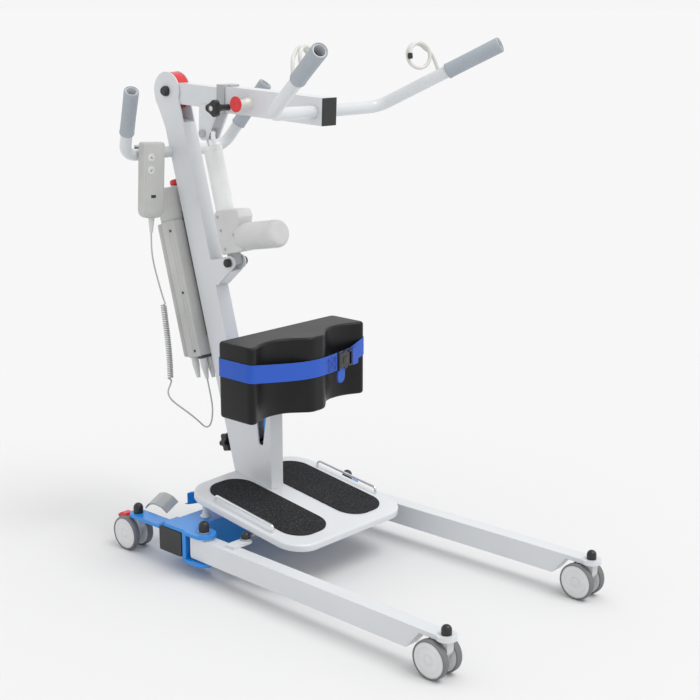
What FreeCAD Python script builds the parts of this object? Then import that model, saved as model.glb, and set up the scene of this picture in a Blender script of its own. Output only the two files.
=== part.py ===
# Sit-to-stand patient hoist: castor base, footplate, leaning mast, powered lifting boom.
# Millimetres. +Z up, -Y to the patient's side, +Y to the attendant's side, the machine's
# middle plane at X = 0 and the floor at Z = 0.
import FreeCAD, Part
import math
import os
from FreeCAD import Placement, Rotation, Vector

document = FreeCAD.newDocument("StandingHoist")
sheet = document.addObject("Spreadsheet::Sheet", "Sizes")

DRIVING_SIZES = [
    ("wheelRadius", 40, "castor wheel radius"),
    ("wheelWidth", 17, "one wheel of a twin castor"),
    ("castorHalfWidth", 28.5, "swivel axis to the outer face of a wheel"),
    ("castorTrail", 21.4, "swivel axis to wheel axle"),
    ("forkWidth", 20, "castor body between the wheels"),
    ("castorStem", 12, "swivel stem of a castor"),
    ("frontCastorX", 247, "front castor swivel from the middle"),
    ("frontCastorY", -529.2, "front castor swivel"),
    ("rearCastorX", 229.1, "rear castor swivel from the middle"),
    ("rearCastorY", 404.1, "rear castor swivel"),
    ("legPivotX", 233.8, "leg pivot from the middle"),
    ("legPivotY", 168.8, "leg pivot"),
    ("legWidth", 35, "leg tube width"),
    ("legBottom", 42.2, "underside of the leg tube"),
    ("legTop", 91.6, "top of the leg tube"),
    ("tubeWall", 3, "wall of the box tubes"),
    ("plateThickness", 8, "chassis plate"),
    ("chassisHalfWidth", 255, "half width of the chassis channel"),
    ("chassisBottom", 37, "underside of the cross tube"),
    ("chassisTop", 96, "top of the cross tube"),
    ("crossTubeFront", 220, "front face of the cross tube"),
    ("crossTubeDepth", 77, "depth of the cross tube"),
    ("lobeRadius", 27, "rounded lug round a leg pivot"),
    ("pivotBoltDiameter", 16, "boom and leg pivot bolts"),
    ("runningGap", 0.05, "radial clearance of a running fit"),
    ("footplateHalfWidth", 183, "half width of the footplate"),
    ("footplateSkirt", 16, "depth of the footplate rim"),
    ("footplatePitch", 7.66, "the footplate rises to the rear by this angle"),
    ("matThickness", 2.2, "anti-slip mat"),
    ("railDiameter", 6, "guard rail rod"),
    ("mastWidth", 38, "mast width across the machine"),
    ("mastWall", 3.5, "mast side wall"),
    ("mastDepth", 67, "mast depth measured level"),
    ("mastLean", 15.18, "the mast leans to the rear by this angle"),
    ("boomPivotY", 506.5, "boom pivot"),
    ("boomPivotZ", 1045, "boom pivot"),
    ("headRadius", 44, "rounded mast head"),
    ("boomSlope", 2.4, "the lowered boom falls to the front by this angle"),
    ("armWidth", 30, "inner boom arm width"),
    ("armHeight", 48, "inner boom arm height"),
    ("sleeveWidth", 40, "outer boom sleeve width"),
    ("sleeveHeight", 58, "outer boom sleeve height"),
    ("lowerPinY", 301.9, "actuator lower pin"),
    ("lowerPinZ", 665.2, "actuator lower pin"),
    ("pinDistance", 300, "actuator retracted, pin to pin"),
    ("actuatorTubeDiameter", 43, "actuator outer tube"),
    ("rodDiameter", 20, "actuator rod"),
    ("motorDiameter", 63, "actuator motor can"),
    ("housingWidth", 44, "actuator gear housing"),
    ("handleTube", 27, "handle tube diameter"),
    ("gripDiameter", 33.5, "grip diameter"),
    ("hookRod", 8, "sling hook rod diameter"),
    ("kneePadHalfWidth", 182, "half width of the knee pad"),
    ("kneePadBottom", 360, "underside of the knee pad"),
    ("kneePadHeight", 171, "height of the knee pad"),
    ("boxHalfWidth", 45, "half width of the control box"),
    ("cordDiameter", 4, "handset cord"),
    ("coilDiameter", 15.5, "outside of the coiled handset cord"),
    ("shaftDiameter", 16, "spreader pedal shaft"),
    ("shaftHeight", 75, "spreader pedal shaft centre"),
    ("crankRadius", 47, "spreader crank pin from the shaft"),
    ("crankY", 128, "spreader crank pins"),
    ("tabX", 190, "tie rod pin on the leg, from the middle"),
    ("tabY", 81, "tie rod pin on the leg"),
]

for row, (alias, number, note) in enumerate(DRIVING_SIZES, 1):
    sheet.set("A%d" % row, note)
    sheet.set("B%d" % row, str(number))
    sheet.setAlias("B%d" % row, alias)
document.recompute()


def size(alias):
    return float(sheet.get(alias))


nodes = {}
LEFT_RIGHT = (("left", -1), ("right", 1))


def node(label, item):
    item.Label = label
    nodes[label] = item
    return item


def bound(kind, name, **formulas):
    """A document object whose sizes follow the sheet's formulas."""
    item = document.addObject(kind, name)
    for prop, formula in formulas.items():
        item.setExpression(prop, str(formula))
    return item


def box(name, corner, length, width, height):
    item = bound("Part::Box", name, Length=length, Width=width, Height=height)
    item.Placement.Base = Vector(*corner)
    return item


def cylinder(name, centre, radius, height, direction=(0, 0, 1)):
    item = bound("Part::Cylinder", name, Radius=radius, Height=height)
    item.Placement = Placement(Vector(*centre), Rotation(Vector(0, 0, 1), Vector(*direction)))
    return item


def cone(name, centre, lower, upper, height, direction=(0, 0, 1)):
    item = bound("Part::Cone", name, Radius1=lower, Radius2=upper, Height=height)
    item.Placement = Placement(Vector(*centre), Rotation(Vector(0, 0, 1), Vector(*direction)))
    return item


def dome(name, base, radius, height, direction=(0, 0, 1)):
    """A round cap: a straight skirt under half a ball."""
    along = Vector(*direction).normalize()
    top = Vector(*base) + along * (height - radius)
    skirt = cylinder(name + "Skirt", base, radius, height - radius, direction)
    ball = bound("Part::Sphere", name + "Ball", Radius=radius, Angle1=0)
    ball.Placement = Placement(top, Rotation(Vector(0, 0, 1), along))
    return fused(name, skirt, ball)


def fused(name, *items):
    item = document.addObject("Part::MultiFuse", name)
    item.Shapes = list(items)
    return item


def cut(name, base, *tools):
    item = document.addObject("Part::Cut", name)
    item.Base = base
    item.Tool = tools[0] if len(tools) == 1 else fused(name + "Tools", *tools)
    return item


def grouped(name, *items):
    """Separate solids of the same kind, kept together in one node."""
    item = document.addObject("Part::Compound", name)
    item.Links = list(items)
    return item


def roundedLoop(points, radii):
    """Lines and tangent arcs round a closed outline. radii is one number or one for each point."""
    count = len(points)
    corners = [Vector(x, y, 0) for x, y in points]
    if not isinstance(radii, (list, tuple)):
        radii = [radii] * count
    starts, ends, arcs = [], [], []
    for index, corner in enumerate(corners):
        before = (corners[index - 1] - corner).normalize()
        after = (corners[(index + 1) % count] - corner).normalize()
        radius = radii[index]
        if radius <= 0:
            starts.append(corner)
            ends.append(corner)
            arcs.append(None)
            continue
        half = before.getAngle(after) / 2
        reach = radius / math.tan(half)
        bisector = (before + after).normalize()
        middle = corner + bisector * (radius / math.sin(half) - radius)
        starts.append(corner + before * reach)
        ends.append(corner + after * reach)
        arcs.append(Part.Arc(starts[-1], middle, ends[-1]))
    loop = []
    for index in range(count):
        if arcs[index]:
            loop.append(arcs[index])
        following = starts[(index + 1) % count]
        if ends[index].distanceToPoint(following) > 0.001:
            loop.append(Part.LineSegment(ends[index], following))
    return loop


def padded(name, plane, loop, length, symmetric=True, placement=None):
    """A body with one sketch padded by a formula. YZ outlines are (y, z) and pad along X."""
    body = document.addObject("PartDesign::Body", name)
    sketch = body.newObject("Sketcher::SketchObject", name + "Sketch")
    origin = [item for item in body.Origin.OriginFeatures if item.Role == plane + "_Plane"][0]
    sketch.AttachmentSupport = [(origin, "")]
    sketch.MapMode = "FlatFace"
    sketch.addGeometry(loop)
    pad = body.newObject("PartDesign::Pad", name + "Pad")
    pad.Profile = sketch
    pad.SideType = "Symmetric" if symmetric else "One side"
    pad.setExpression("Length", str(length))
    if placement:
        body.Placement = placement
    return body


def circleLoop(x, y, radius):
    return [Part.Circle(Vector(x, y, 0), Vector(0, 0, 1), radius)]


def routeRadii(points):
    """The largest arc each bend of a route allows: 0.45 of its shorter run."""
    radii = []
    for before, here, after in zip(points, points[1:], points[2:]):
        turn = (here - before).getAngle(after - here)
        shorter = min(here.distanceToPoint(before), after.distanceToPoint(here))
        radii.append(0.45 * shorter / math.tan(turn / 2))
    return radii


def routeWire(points, radii):
    edges = []
    start = points[0]
    for corner, radius, before, after in zip(points[1:], radii, points, points[2:]):
        back = (before - corner).normalize()
        onward = (after - corner).normalize()
        half = back.getAngle(onward) / 2
        reach = radius / math.tan(half)
        arcStart = corner + back * reach
        arcEnd = corner + onward * reach
        middle = corner + (back + onward).normalize() * (radius / math.sin(half) - radius)
        if start.distanceToPoint(arcStart) > 0.001:
            edges.append(Part.makeLine(start, arcStart))
        edges.append(Part.Arc(arcStart, middle, arcEnd).toShape())
        start = arcEnd
    edges.append(Part.makeLine(start, points[-1]))
    return Part.Wire(edges)


def tube(name, points, diameter, bore=0, radii=None):
    """A round tube or rod along straight runs joined by tangent arcs."""
    points = [Vector(*point) for point in points]
    if radii is None:
        radii = routeRadii(points)
    elif not isinstance(radii, (list, tuple)):
        radii = [radii] * (len(points) - 2)
    wire = routeWire(points, radii)
    direction = points[1] - points[0]

    def swept(width):
        ring = Part.Wire(Part.makeCircle(width / 2, points[0], direction))
        return wire.makePipeShell([ring], True, False)

    shape = swept(diameter)
    if bore:
        shape = shape.cut(swept(bore))
    item = document.addObject("Part::Feature", name)
    item.Shape = shape
    item.addProperty("App::PropertyFloat", "CentreLength").CentreLength = wire.Length
    return item


def mirrored(name, item):
    """The same piece on the other side of the middle plane."""
    item_mirror = document.addObject("Part::Mirroring", name)
    item_mirror.Source = item
    item_mirror.Normal = Vector(1, 0, 0)
    return item_mirror


# Frames of the tilted sub-assemblies
mastFoot = Vector(0, 297.5, 162.3)
leaning = Rotation(Vector(1, 0, 0), -size("mastLean"))
mastFrame = Placement(mastFoot, leaning)
actuatorFrame = Placement(Vector(0, size("lowerPinY"), size("lowerPinZ")), leaning)
boomPivot = Vector(0, size("boomPivotY"), size("boomPivotZ"))
boomFrame = Placement(boomPivot, Rotation(Vector(1, 0, 0), size("boomSlope")))
footplateFrame = Placement(Vector(0, 17.9, 125.2), Rotation(Vector(1, 0, 0), size("footplatePitch")))
upperPin = actuatorFrame.multVec(Vector(0, 0, size("pinDistance")))
leanSlope = math.tan(math.radians(size("mastLean")))


def mastRear(height):
    return mastFoot.y + leanSlope * (height - mastFoot.z)


def mastFront(height):
    return mastRear(height) - size("mastDepth")


def inFrame(frame, *items):
    for item in items:
        item.Placement = frame.multiply(item.Placement)
    return items[0]


# ---------------------------------------------------------------- chassis
def chassis():
    half = size("chassisHalfWidth")
    front = size("crossTubeFront")
    pivotX, pivotY = size("legPivotX"), size("legPivotY")
    plate = size("plateThickness")
    top = size("chassisTop")
    webFront = front - 12
    lugBottom = size("legBottom") - plate - 3.2
    shaftZ = size("shaftHeight")
    crossTube = box("crossTube", (-half + 2, front, size("chassisBottom")), "2 * Sizes.chassisHalfWidth - 4",
                    "Sizes.crossTubeDepth", "Sizes.chassisTop - Sizes.chassisBottom")
    hollow = box("crossTubeBore", (-half, front + 3, size("chassisBottom") + 3), "2 * Sizes.chassisHalfWidth",
                 "Sizes.crossTubeDepth - 2 * Sizes.tubeWall",
                 "Sizes.chassisTop - Sizes.chassisBottom - 2 * Sizes.tubeWall")
    shaftBore = cylinder("shaftBore", (0, webFront - 5, shaftZ), "Sizes.shaftDiameter / 2 + Sizes.runningGap",
                         "Sizes.crossTubeDepth + 30", (0, 1, 0))
    web = box("web", (-half, webFront, lugBottom), "2 * Sizes.chassisHalfWidth", 12, top + plate - lugBottom)
    deck = box("deck", (-half, webFront, top), "2 * Sizes.chassisHalfWidth", 72, "Sizes.plateThickness")
    pieces = [web, deck]
    bores = [shaftBore]
    for side, sign in LEFT_RIGHT:
        for level, base in (("Upper", top), ("Lower", lugBottom)):
            lug = box(side + level + "Lug", (sign * pivotX - 27, pivotY, base), "2 * Sizes.lobeRadius",
                      webFront + 1 - pivotY, "Sizes.plateThickness")
            lobe = cylinder(side + level + "Lobe", (sign * pivotX, pivotY, base), "Sizes.lobeRadius",
                            "Sizes.plateThickness")
            pieces += [lug, lobe]
        bores.append(cylinder(side + "PivotBore", (sign * pivotX, pivotY, lugBottom - 5),
                              "Sizes.pivotBoltDiameter / 2", 90))
        # the rear arm steps down from the deck to the castor
        armLoop = roundedLoop([(front + 50, top), (front + 50, top + plate), (front + 68, top + plate),
                               (front + 92, 90), (size("rearCastorY"), 90), (size("rearCastorY"), 82),
                               (front + 77, 82), (front + 77, top)], 0)
        arm = padded(side + "RearArm", "YZ", armLoop, 40,
                     placement=Placement(Vector(sign * size("rearCastorX"), 0, 0), Rotation()))
        armEnd = cylinder(side + "RearArmEnd", (sign * size("rearCastorX"), size("rearCastorY"), 82), 20,
                          "Sizes.plateThickness")
        pieces += [arm, armEnd]
        bores.append(cylinder(side + "StemBore", (sign * size("rearCastorX"), size("rearCastorY"), 70),
                              "Sizes.castorStem / 2 + Sizes.runningGap", 40))
    tubeShell = cut("crossTubeShell", crossTube, hollow)
    node("chassis_frame", cut("chassisFrame", fused("chassisBody", tubeShell, *pieces), *bores))

    caps = []
    for side, sign in LEFT_RIGHT:
        capLoop = roundedLoop([(front + 1, 38), (front + 76, 38), (front + 76, top - 0.5),
                               (front + 1, top - 0.5)], 5)
        caps.append(padded(side + "EndCap", "YZ", capLoop, 4, symmetric=False,
                           placement=Placement(Vector(sign * (half - 2) - (4 if sign < 0 else 0), 0, 0),
                                               Rotation())))
    return caps


# ---------------------------------------------------------------- footplate
def footplate():
    half = size("footplateHalfWidth")
    front, rear = -91.7, 283.6
    outline = [(-half, front), (half, front), (half, rear), (-half, rear)]
    plate = padded("footplateBlank", "XY", roundedLoop(outline, [60, 60, 68, 68]), "Sizes.footplateSkirt",
                   symmetric=False, placement=Placement(Vector(0, 0, -size("footplateSkirt")), Rotation()))
    inner = [(-half + 3, front + 3), (half - 3, front + 3), (half - 3, rear - 3), (-half + 3, rear - 3)]
    under = padded("footplateUnder", "XY", roundedLoop(inner, [57, 57, 65, 65]), "Sizes.footplateSkirt",
                   symmetric=False, placement=Placement(Vector(0, 0, -size("footplateSkirt") - 3),
                                                        Rotation()))
    inFrame(footplateFrame, plate, under)
    mastNotch = box("mastNotch", (-size("mastWidth") / 2 - 0.2, 174.2, 90), "Sizes.mastWidth + 0.4", 160, 100)
    pieces = [cut("footplateTray", plate, under, mastNotch)]
    for side, sign in LEFT_RIGHT:
        post = cylinder(side + "Post", (sign * 163, 243, 104), 7, 49)
        foot = cone(side + "PostFoot", (sign * 163, 243, 104), 13, 7, 7)
        pieces += [post, foot]
    node("footplate", fused("footplateBody", *pieces))

    mats = []
    for side, sign in LEFT_RIGHT:
        inside, outside = sorted((sign * 29, sign * 150))
        matLoop = roundedLoop([(inside, -56.4), (outside, -56.4), (outside, 256.3), (inside, 256.3)], 50)
        mats.append(inFrame(footplateFrame, padded(side + "Mat", "XY", matLoop, "Sizes.matThickness",
                                                   symmetric=False)))
    node("foot_mats", grouped("footMats", *mats))

    rails = []
    for side, sign in LEFT_RIGHT:
        route = [(sign * 168, 0, 0), (sign * 168, 0, 15), (sign * 167, 189, 15), (sign * 167, 189, 0)]
        route = [tuple(footplateFrame.multVec(Vector(*point))) for point in route]
        rails.append(tube(side + "Rail", route, size("railDiameter"), radii=9))
    node("guard_rails", grouped("guardRails", *rails))


# ---------------------------------------------------------------- mast
def mast():
    width = "Sizes.mastWidth"
    hollowWidth = "Sizes.mastWidth - 2 * Sizes.mastWall"
    columnFront, columnTop, shoulder = 174.5, 415, 445
    footLevel = size("chassisTop") + size("plateThickness")
    pivotY, pivotZ = size("boomPivotY"), size("boomPivotZ")
    outline = [(columnFront, footLevel), (columnFront, columnTop), (mastFront(shoulder), shoulder),
               (mastFront(pivotZ), pivotZ), (pivotY, pivotZ), (547.8, 1024.6), (534.1, 1001.6),
               (mastRear(961), 961), (mastRear(footLevel), footLevel)]
    shell = padded("mastShell", "YZ", roundedLoop(outline, 0), width)
    head = cylinder("mastHead", (-size("mastWidth") / 2, pivotY, pivotZ), "Sizes.headRadius", width,
                    (1, 0, 0))
    inside = [(columnFront + 4, footLevel + 4), (columnFront + 4, columnTop - 3.5),
              (mastFront(shoulder) + 4, shoulder - 3.5), (mastFront(975) + 4.2, 975),
              (mastRear(975) - 4.2, 975), (mastRear(footLevel + 4) - 4.2, footLevel + 4)]
    hollow = padded("mastHollow", "YZ", roundedLoop(inside, 0), hollowWidth)
    # the slot between the head's cheeks, open to the front, the top and the rear
    slot = padded("headSlot", "YZ", roundedLoop([(400, 968), (600, 1000), (600, 1120), (400, 1120)], 0),
                  hollowWidth)
    stemMouth = box("stemMouth", (-14, 178.5, 405), 28, 29, 30)
    windowLoop = roundedLoop([(184, 345), (226, 345), (214, 248), (201, 248)], [2, 2, 4, 4])
    stemWindow = padded("stemWindow", "YZ", windowLoop, 60)
    knobCentre = Vector(0, mastRear(230), 230)
    knobBore = cylinder("knobBore", tuple(knobCentre + leaning.multVec(Vector(0, 5, 0))), 4.05, 15,
                        tuple(leaning.multVec(Vector(0, -1, 0))))
    pinY, pinZ = size("lowerPinY"), size("lowerPinZ")
    ears = []
    earLoop = roundedLoop([(mastFront(664) + 4, 664), (pinY + 16, pinZ + 9), (pinY - 10, pinZ - 12),
                           (mastFront(610) - 6, 606), (mastFront(612) + 4, 612)], 0)
    for side, sign in LEFT_RIGHT:
        shift = Placement(Vector(sign * 17, 0, 0), Rotation())
        ears.append(padded(side + "BracketCheek", "YZ", earLoop, 4, placement=shift))
        ears.append(cylinder(side + "BracketEar", (sign * 17 - 2, pinY, pinZ), 16, 4, (1, 0, 0)))
    floorLoop = roundedLoop([(pinY - 2, pinZ - 21), (mastFront(610) - 6, 606), (mastFront(612) + 3, 611),
                             (pinY + 2, pinZ - 18)], 0)
    bracketFloor = padded("bracketFloor", "YZ", floorLoop, 34)
    solid = cut("mastTube", fused("mastBody", shell, head), hollow, slot, stemMouth, stemWindow, knobBore)
    handleHole = cylinder("handleHole", (-40, 504, 905), "Sizes.handleTube / 2 + 0.02", 80, (1, 0, 0))
    boltHole = cylinder("boomBoltHole", (-40, pivotY, pivotZ), "Sizes.pivotBoltDiameter / 2", 80, (1, 0, 0))
    pinHole = cylinder("lowerPinHole", (-40, pinY, pinZ), 6, 80, (1, 0, 0))
    node("mast", cut("mastNode", fused("mastWelded", solid, bracketFloor, *ears), handleHole, boltHole,
                     pinHole))


# ---------------------------------------------------------------- bolts and caps on the fixed frame
def boltsAndCaps(endCaps):
    pivotY, pivotZ = size("boomPivotY"), size("boomPivotZ")
    pinY, pinZ = size("lowerPinY"), size("lowerPinZ")
    lugBottom = size("legBottom") - size("plateThickness") - 3.2
    bolts = [cylinder("boomBolt", (-19, pivotY, pivotZ), "Sizes.pivotBoltDiameter / 2", 38, (1, 0, 0)),
             cylinder("lowerPinBolt", (-22, pinY, pinZ), 6, 44, (1, 0, 0))]
    caps = list(endCaps)
    for side, sign in LEFT_RIGHT:
        pivot = (sign * size("legPivotX"), size("legPivotY"))
        shank = cylinder(side + "LegBolt", (*pivot, lugBottom - 4), "Sizes.pivotBoltDiameter / 2", 81)
        washer = cylinder(side + "LegWasher", (*pivot, 104), 14, 4)
        bolts.append(fused(side + "LegPivotBolt", shank, washer))
        outward = (sign, 0, 0)
        caps += [
            dome(side + "PivotDome", (*pivot, 108), 12, 24),
            dome(side + "CastorDome", (sign * size("rearCastorX"), size("rearCastorY"), 90), 11.5, 24),
            fused(side + "BoomCap", cylinder(side + "BoomCapWasher", (sign * 19, pivotY, pivotZ), 12, 6,
                                             outward),
                  cone(side + "BoomCapNose", (sign * 25, pivotY, pivotZ), 12, 9, 5, outward)),
            fused(side + "PinCap", cylinder(side + "PinCapWasher", (sign * 22, pinY, pinZ), 10, 7, outward),
                  cone(side + "PinCapNose", (sign * 29, pinY, pinZ), 10, 6, 4, outward)),
        ]
        bolts.append(cylinder(side + "PinNut", (sign * 19, pinY, pinZ), 11, 3, outward))
    node("pivot_bolts", grouped("pivotBolts", fused("lowerPinSet", bolts[1], bolts[3], bolts[5]),
                                bolts[0], bolts[2], bolts[4]))
    node("frame_caps", grouped("frameCaps", *caps))


# ---------------------------------------------------------------- attendant's push handles
def pushHandles():
    elbow = Vector(151, 504, 905)
    top = Vector(202.8, 403.8, 1058)
    aim = (top - elbow).normalize()
    gripStart = top - aim * 122
    barEnd = top - aim * 1.5

    def flip(point):
        return (-point.x, point.y, point.z)

    route = [flip(barEnd), flip(elbow), tuple(elbow), tuple(barEnd)]
    node("push_handle_bar", tube("pushHandleBar", route, size("handleTube"), size("handleTube") - 4,
                                 radii=45))
    grips = []
    for side, sign in LEFT_RIGHT:
        start = (sign * gripStart.x, gripStart.y, gripStart.z)
        direction = (sign * aim.x, aim.y, aim.z)
        sleeve = cylinder(side + "PushGripSleeve", start, "Sizes.gripDiameter / 2", 122, direction)
        bore = cylinder(side + "PushGripBore", start, "Sizes.handleTube / 2 + 0.02", 130, direction)
        grips.append(cut(side + "PushGrip", sleeve, bore))
    node("push_grips", grouped("pushGrips", *grips))


# ---------------------------------------------------------------- control box behind the mast
def controlBox():
    half = size("boxHalfWidth")
    body = padded("boxBlank", "YZ", roundedLoop([(12, 285), (58, 285), (58, 690), (12, 690)], 4),
                  "2 * Sizes.boxHalfWidth")
    spacer = box("boxSpacer", (-12, 0.1, 330), 24, 12.4, 300)
    socket = box("boxSocket", (-38, 13, 279), 40, 16, 7)
    node("control_box", inFrame(mastFrame, fused("controlBox", body, spacer, socket)))
    pack = padded("batteryBlank", "YZ", roundedLoop([(58.1, 288), (76, 288), (76, 600), (70, 612),
                                                     (58.1, 616)],
                                                    [0, 5, 5, 4, 0]), "2 * Sizes.boxHalfWidth - 6")
    node("battery_pack", inFrame(mastFrame, pack))
    stop = fused("stopButton", cylinder("stopHead", (8, 34, 694.5), 15, 14),
                 cylinder("stopStem", (8, 34, 684), 6, 12))
    node("emergency_stop", inFrame(mastFrame, stop))
    well = cylinder("stopWell", (8, 34, 678), 6.6, 20)
    nodes["control_box"].Label = "controlBoxBlank"
    inFrame(mastFrame, well)
    node("control_box", cut("controlBoxCase", nodes["control_box"], well))
    plugs = []
    for name, x, depth, top in (("Battery", -30, 50, 285), ("Motor", -9, 21, 279)):
        shellPart = cylinder(name + "PlugShell", (x, depth, top - 22), 8.5, 22)
        boot = cone(name + "PlugBoot", (x, depth, top - 50), 4.5, 8, 28)
        plugs.append(inFrame(mastFrame, fused(name + "Plug", shellPart, boot)))
    node("control_plugs", grouped("controlPlugs", *plugs))


# ---------------------------------------------------------------- handset on the left push handle
def handset():
    tilt = Placement(Vector(-99, 474.5, 848), Rotation(Vector(0, 1, 0), 3.6))
    outline = [(-29, -86), (29, -86), (31, 87), (-31, 87)]
    case = padded("handsetBlank", "XZ", roundedLoop(outline, [16, 16, 7, 7]), 24,
                  placement=Placement(Vector(0, 0, 0), Rotation()))
    hookLoop = roundedLoop([(12, 40), (15, 40), (15, 72.5), (46, 72.5), (46, 42), (49, 42), (49, 77),
                            (12, 77)],
                           [0, 0, 12, 12, 0, 0, 15, 0])
    hook = padded("handsetHook", "YZ", hookLoop, 26)
    wells = [cylinder(name + "Well", (-11, 5, height), 6.3, 20, (0, -1, 0))
             for name, height in (("Up", 52), ("Down", 23))]
    inFrame(tilt, case, hook, *wells)
    node("handset_case", cut("handsetCase", fused("handsetBody", case, hook), *wells))
    for name, height in (("up", 52), ("down", 23)):
        button = cylinder(name + "ButtonDisc", (-11, 2, height), 5.9, 15.2, (0, -1, 0))
        node("handset_%s_button" % name, inFrame(tilt, button))
    relief = cone("handsetReliefCone", (2, 0, -122), 3.6, 7.5, 36)
    node("handset_strain_relief", inFrame(tilt, relief))
    return tuple(tilt.multVec(Vector(2, 0, -122)))


# ---------------------------------------------------------------- handset cord
# one list for each stretch: down from the handset, the coiled part, and the loop up to its plug
leadRoute = [(-104.7, 474.5, 726.2), (-105.6, 474, 708), (-107.4, 472, 682), (-104, 469, 648),
             (-96.5, 465, 612),
             (-92.5, 461, 588), (-90.4, 457.5, 565)]
coilRoute = [(-90.4, 457.5, 565), (-88.5, 455, 527), (-87, 451, 490), (-86.5, 447, 450), (-87.5, 443, 412),
             (-90, 440, 371)]
tailRoute = [(-90, 440, 371), (-93, 439.5, 362), (-103.5, 436, 350), (-103.5, 430, 337), (-92, 424, 322),
             (-74, 414, 305), (-56, 404, 287), (-42, 394, 270), (-33.5, 386, 257), (-25.5, 378, 258),
             (-22.5, 372, 276), (-22, 369, 302), (-24.5, 370, 330), (-28.3, 372.7, 357)]


def cords(reliefEnd):
    plugBase = mastFrame.multVec(Vector(-29, 21, 279))
    plugEnd = mastFrame.multVec(Vector(-29, 21, 229))
    lead = [reliefEnd] + leadRoute[1:]
    tail = tailRoute[:-1] + [tuple(plugEnd)]
    for name, route, diameter in (("cord_lead", lead, "cordDiameter"),
                                  ("cord_coil", coilRoute, "coilDiameter"),
                                  ("cord_tail", tail, "cordDiameter")):
        item = node(name, tube(name.replace("_", ""), route, size(diameter)))
        radii = routeRadii([Vector(*point) for point in route])
        exact = item.CentreLength * math.pi * size(diameter) ** 2 / 4
        print(name, "length", round(item.CentreLength, 1), "radii", [round(radius) for radius in radii],
              "volume over length", round(item.Shape.Volume / exact, 4))
    axis = tuple((plugBase - plugEnd).normalize())
    shellPart = cylinder("cordPlugShell", tuple(plugBase - Vector(*axis) * 22), 8.5, 22, axis)
    boot = cone("cordPlugBoot", tuple(plugEnd), 3.6, 8, 28, axis)
    node("cord_plug", fused("cordPlug", shellPart, boot))


# ---------------------------------------------------------------- boom: inner arm on the mast pivot
def boom():
    half = size("armHeight") / 2
    centre = -2.5
    arm = box("armTube", (-size("armWidth") / 2, -320, centre - half), "Sizes.armWidth", 320,
              "Sizes.armHeight")
    armBore = box("armBore", (-12, -330, centre - half + 3), "Sizes.armWidth - 2 * Sizes.tubeWall", 280,
                  "Sizes.armHeight - 2 * Sizes.tubeWall")
    hub = cylinder("armHub", (-size("armWidth") / 2, 0, centre), "Sizes.armHeight / 2", "Sizes.armWidth",
                   (1, 0, 0))
    base = box("clevisBase", (-20, -168, centre - half - 4), 40, 52, 4)
    shell = inFrame(boomFrame, cut("armShell", fused("armSolid", arm, hub), armBore))
    inFrame(boomFrame, base)
    ears = []
    earLoop = roundedLoop([(338, 1020), (338, 999), (upperPin.y - 15, upperPin.z - 5),
                           (upperPin.y + 15, upperPin.z + 5),
                           (391.5, 1020)], 0)
    for side, sign in LEFT_RIGHT:
        shift = Placement(Vector(sign * 17.5, 0, 0), Rotation())
        ears.append(padded(side + "ClevisCheek", "YZ", earLoop, 5, placement=shift))
        ears.append(cylinder(side + "ClevisEar", (sign * 17.5 - 2.5, upperPin.y, upperPin.z), 16, 5,
                             (1, 0, 0)))
    pivotHole = cylinder("armPivotHole", (-30, boomPivot.y, boomPivot.z),
                         "Sizes.pivotBoltDiameter / 2 + Sizes.runningGap", 60, (1, 0, 0))
    pinHole = cylinder("clevisHole", (-30, upperPin.y, upperPin.z), 6, 60, (1, 0, 0))
    node("boom_arm", cut("boomArm", fused("armWelded", shell, base, *ears), pivotHole, pinHole))

    cover = cylinder("coverDisc", (-size("armWidth") / 2, 0, 0), "Sizes.headRadius - 1", "Sizes.armWidth",
                     (1, 0, 0))
    coverGap = box("coverGap", (-20, -60, centre - half - 0.02), 40, 60, "Sizes.armHeight + 0.04")
    coverHub = cylinder("coverHub", (-20, 0, centre), "Sizes.armHeight / 2 + 0.02", 40, (1, 0, 0))
    inFrame(boomFrame, cover, coverGap, coverHub)
    node("boom_head_cover", cut("boomHeadCover", cover, coverGap, coverHub))

    bolts = []
    for side, sign in LEFT_RIGHT:
        outward = (sign, 0, 0)
        bush = cylinder(side + "ClevisBush", (sign * 7.8, upperPin.y, upperPin.z), 10, 7.2, outward)
        shank = cylinder(side + "ClevisShank", (sign * 15, upperPin.y, upperPin.z), 6, 6, outward)
        cap = cylinder(side + "ClevisCap", (sign * 20, upperPin.y, upperPin.z), 9, 6, outward)
        bolts.append(fused(side + "ClevisBolt", bush, shank, cap))
    node("clevis_bolts", grouped("clevisBolts", *bolts))


# ---------------------------------------------------------------- boom: telescopic sleeve
STAR_KNOB = (293, 1018)


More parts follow.
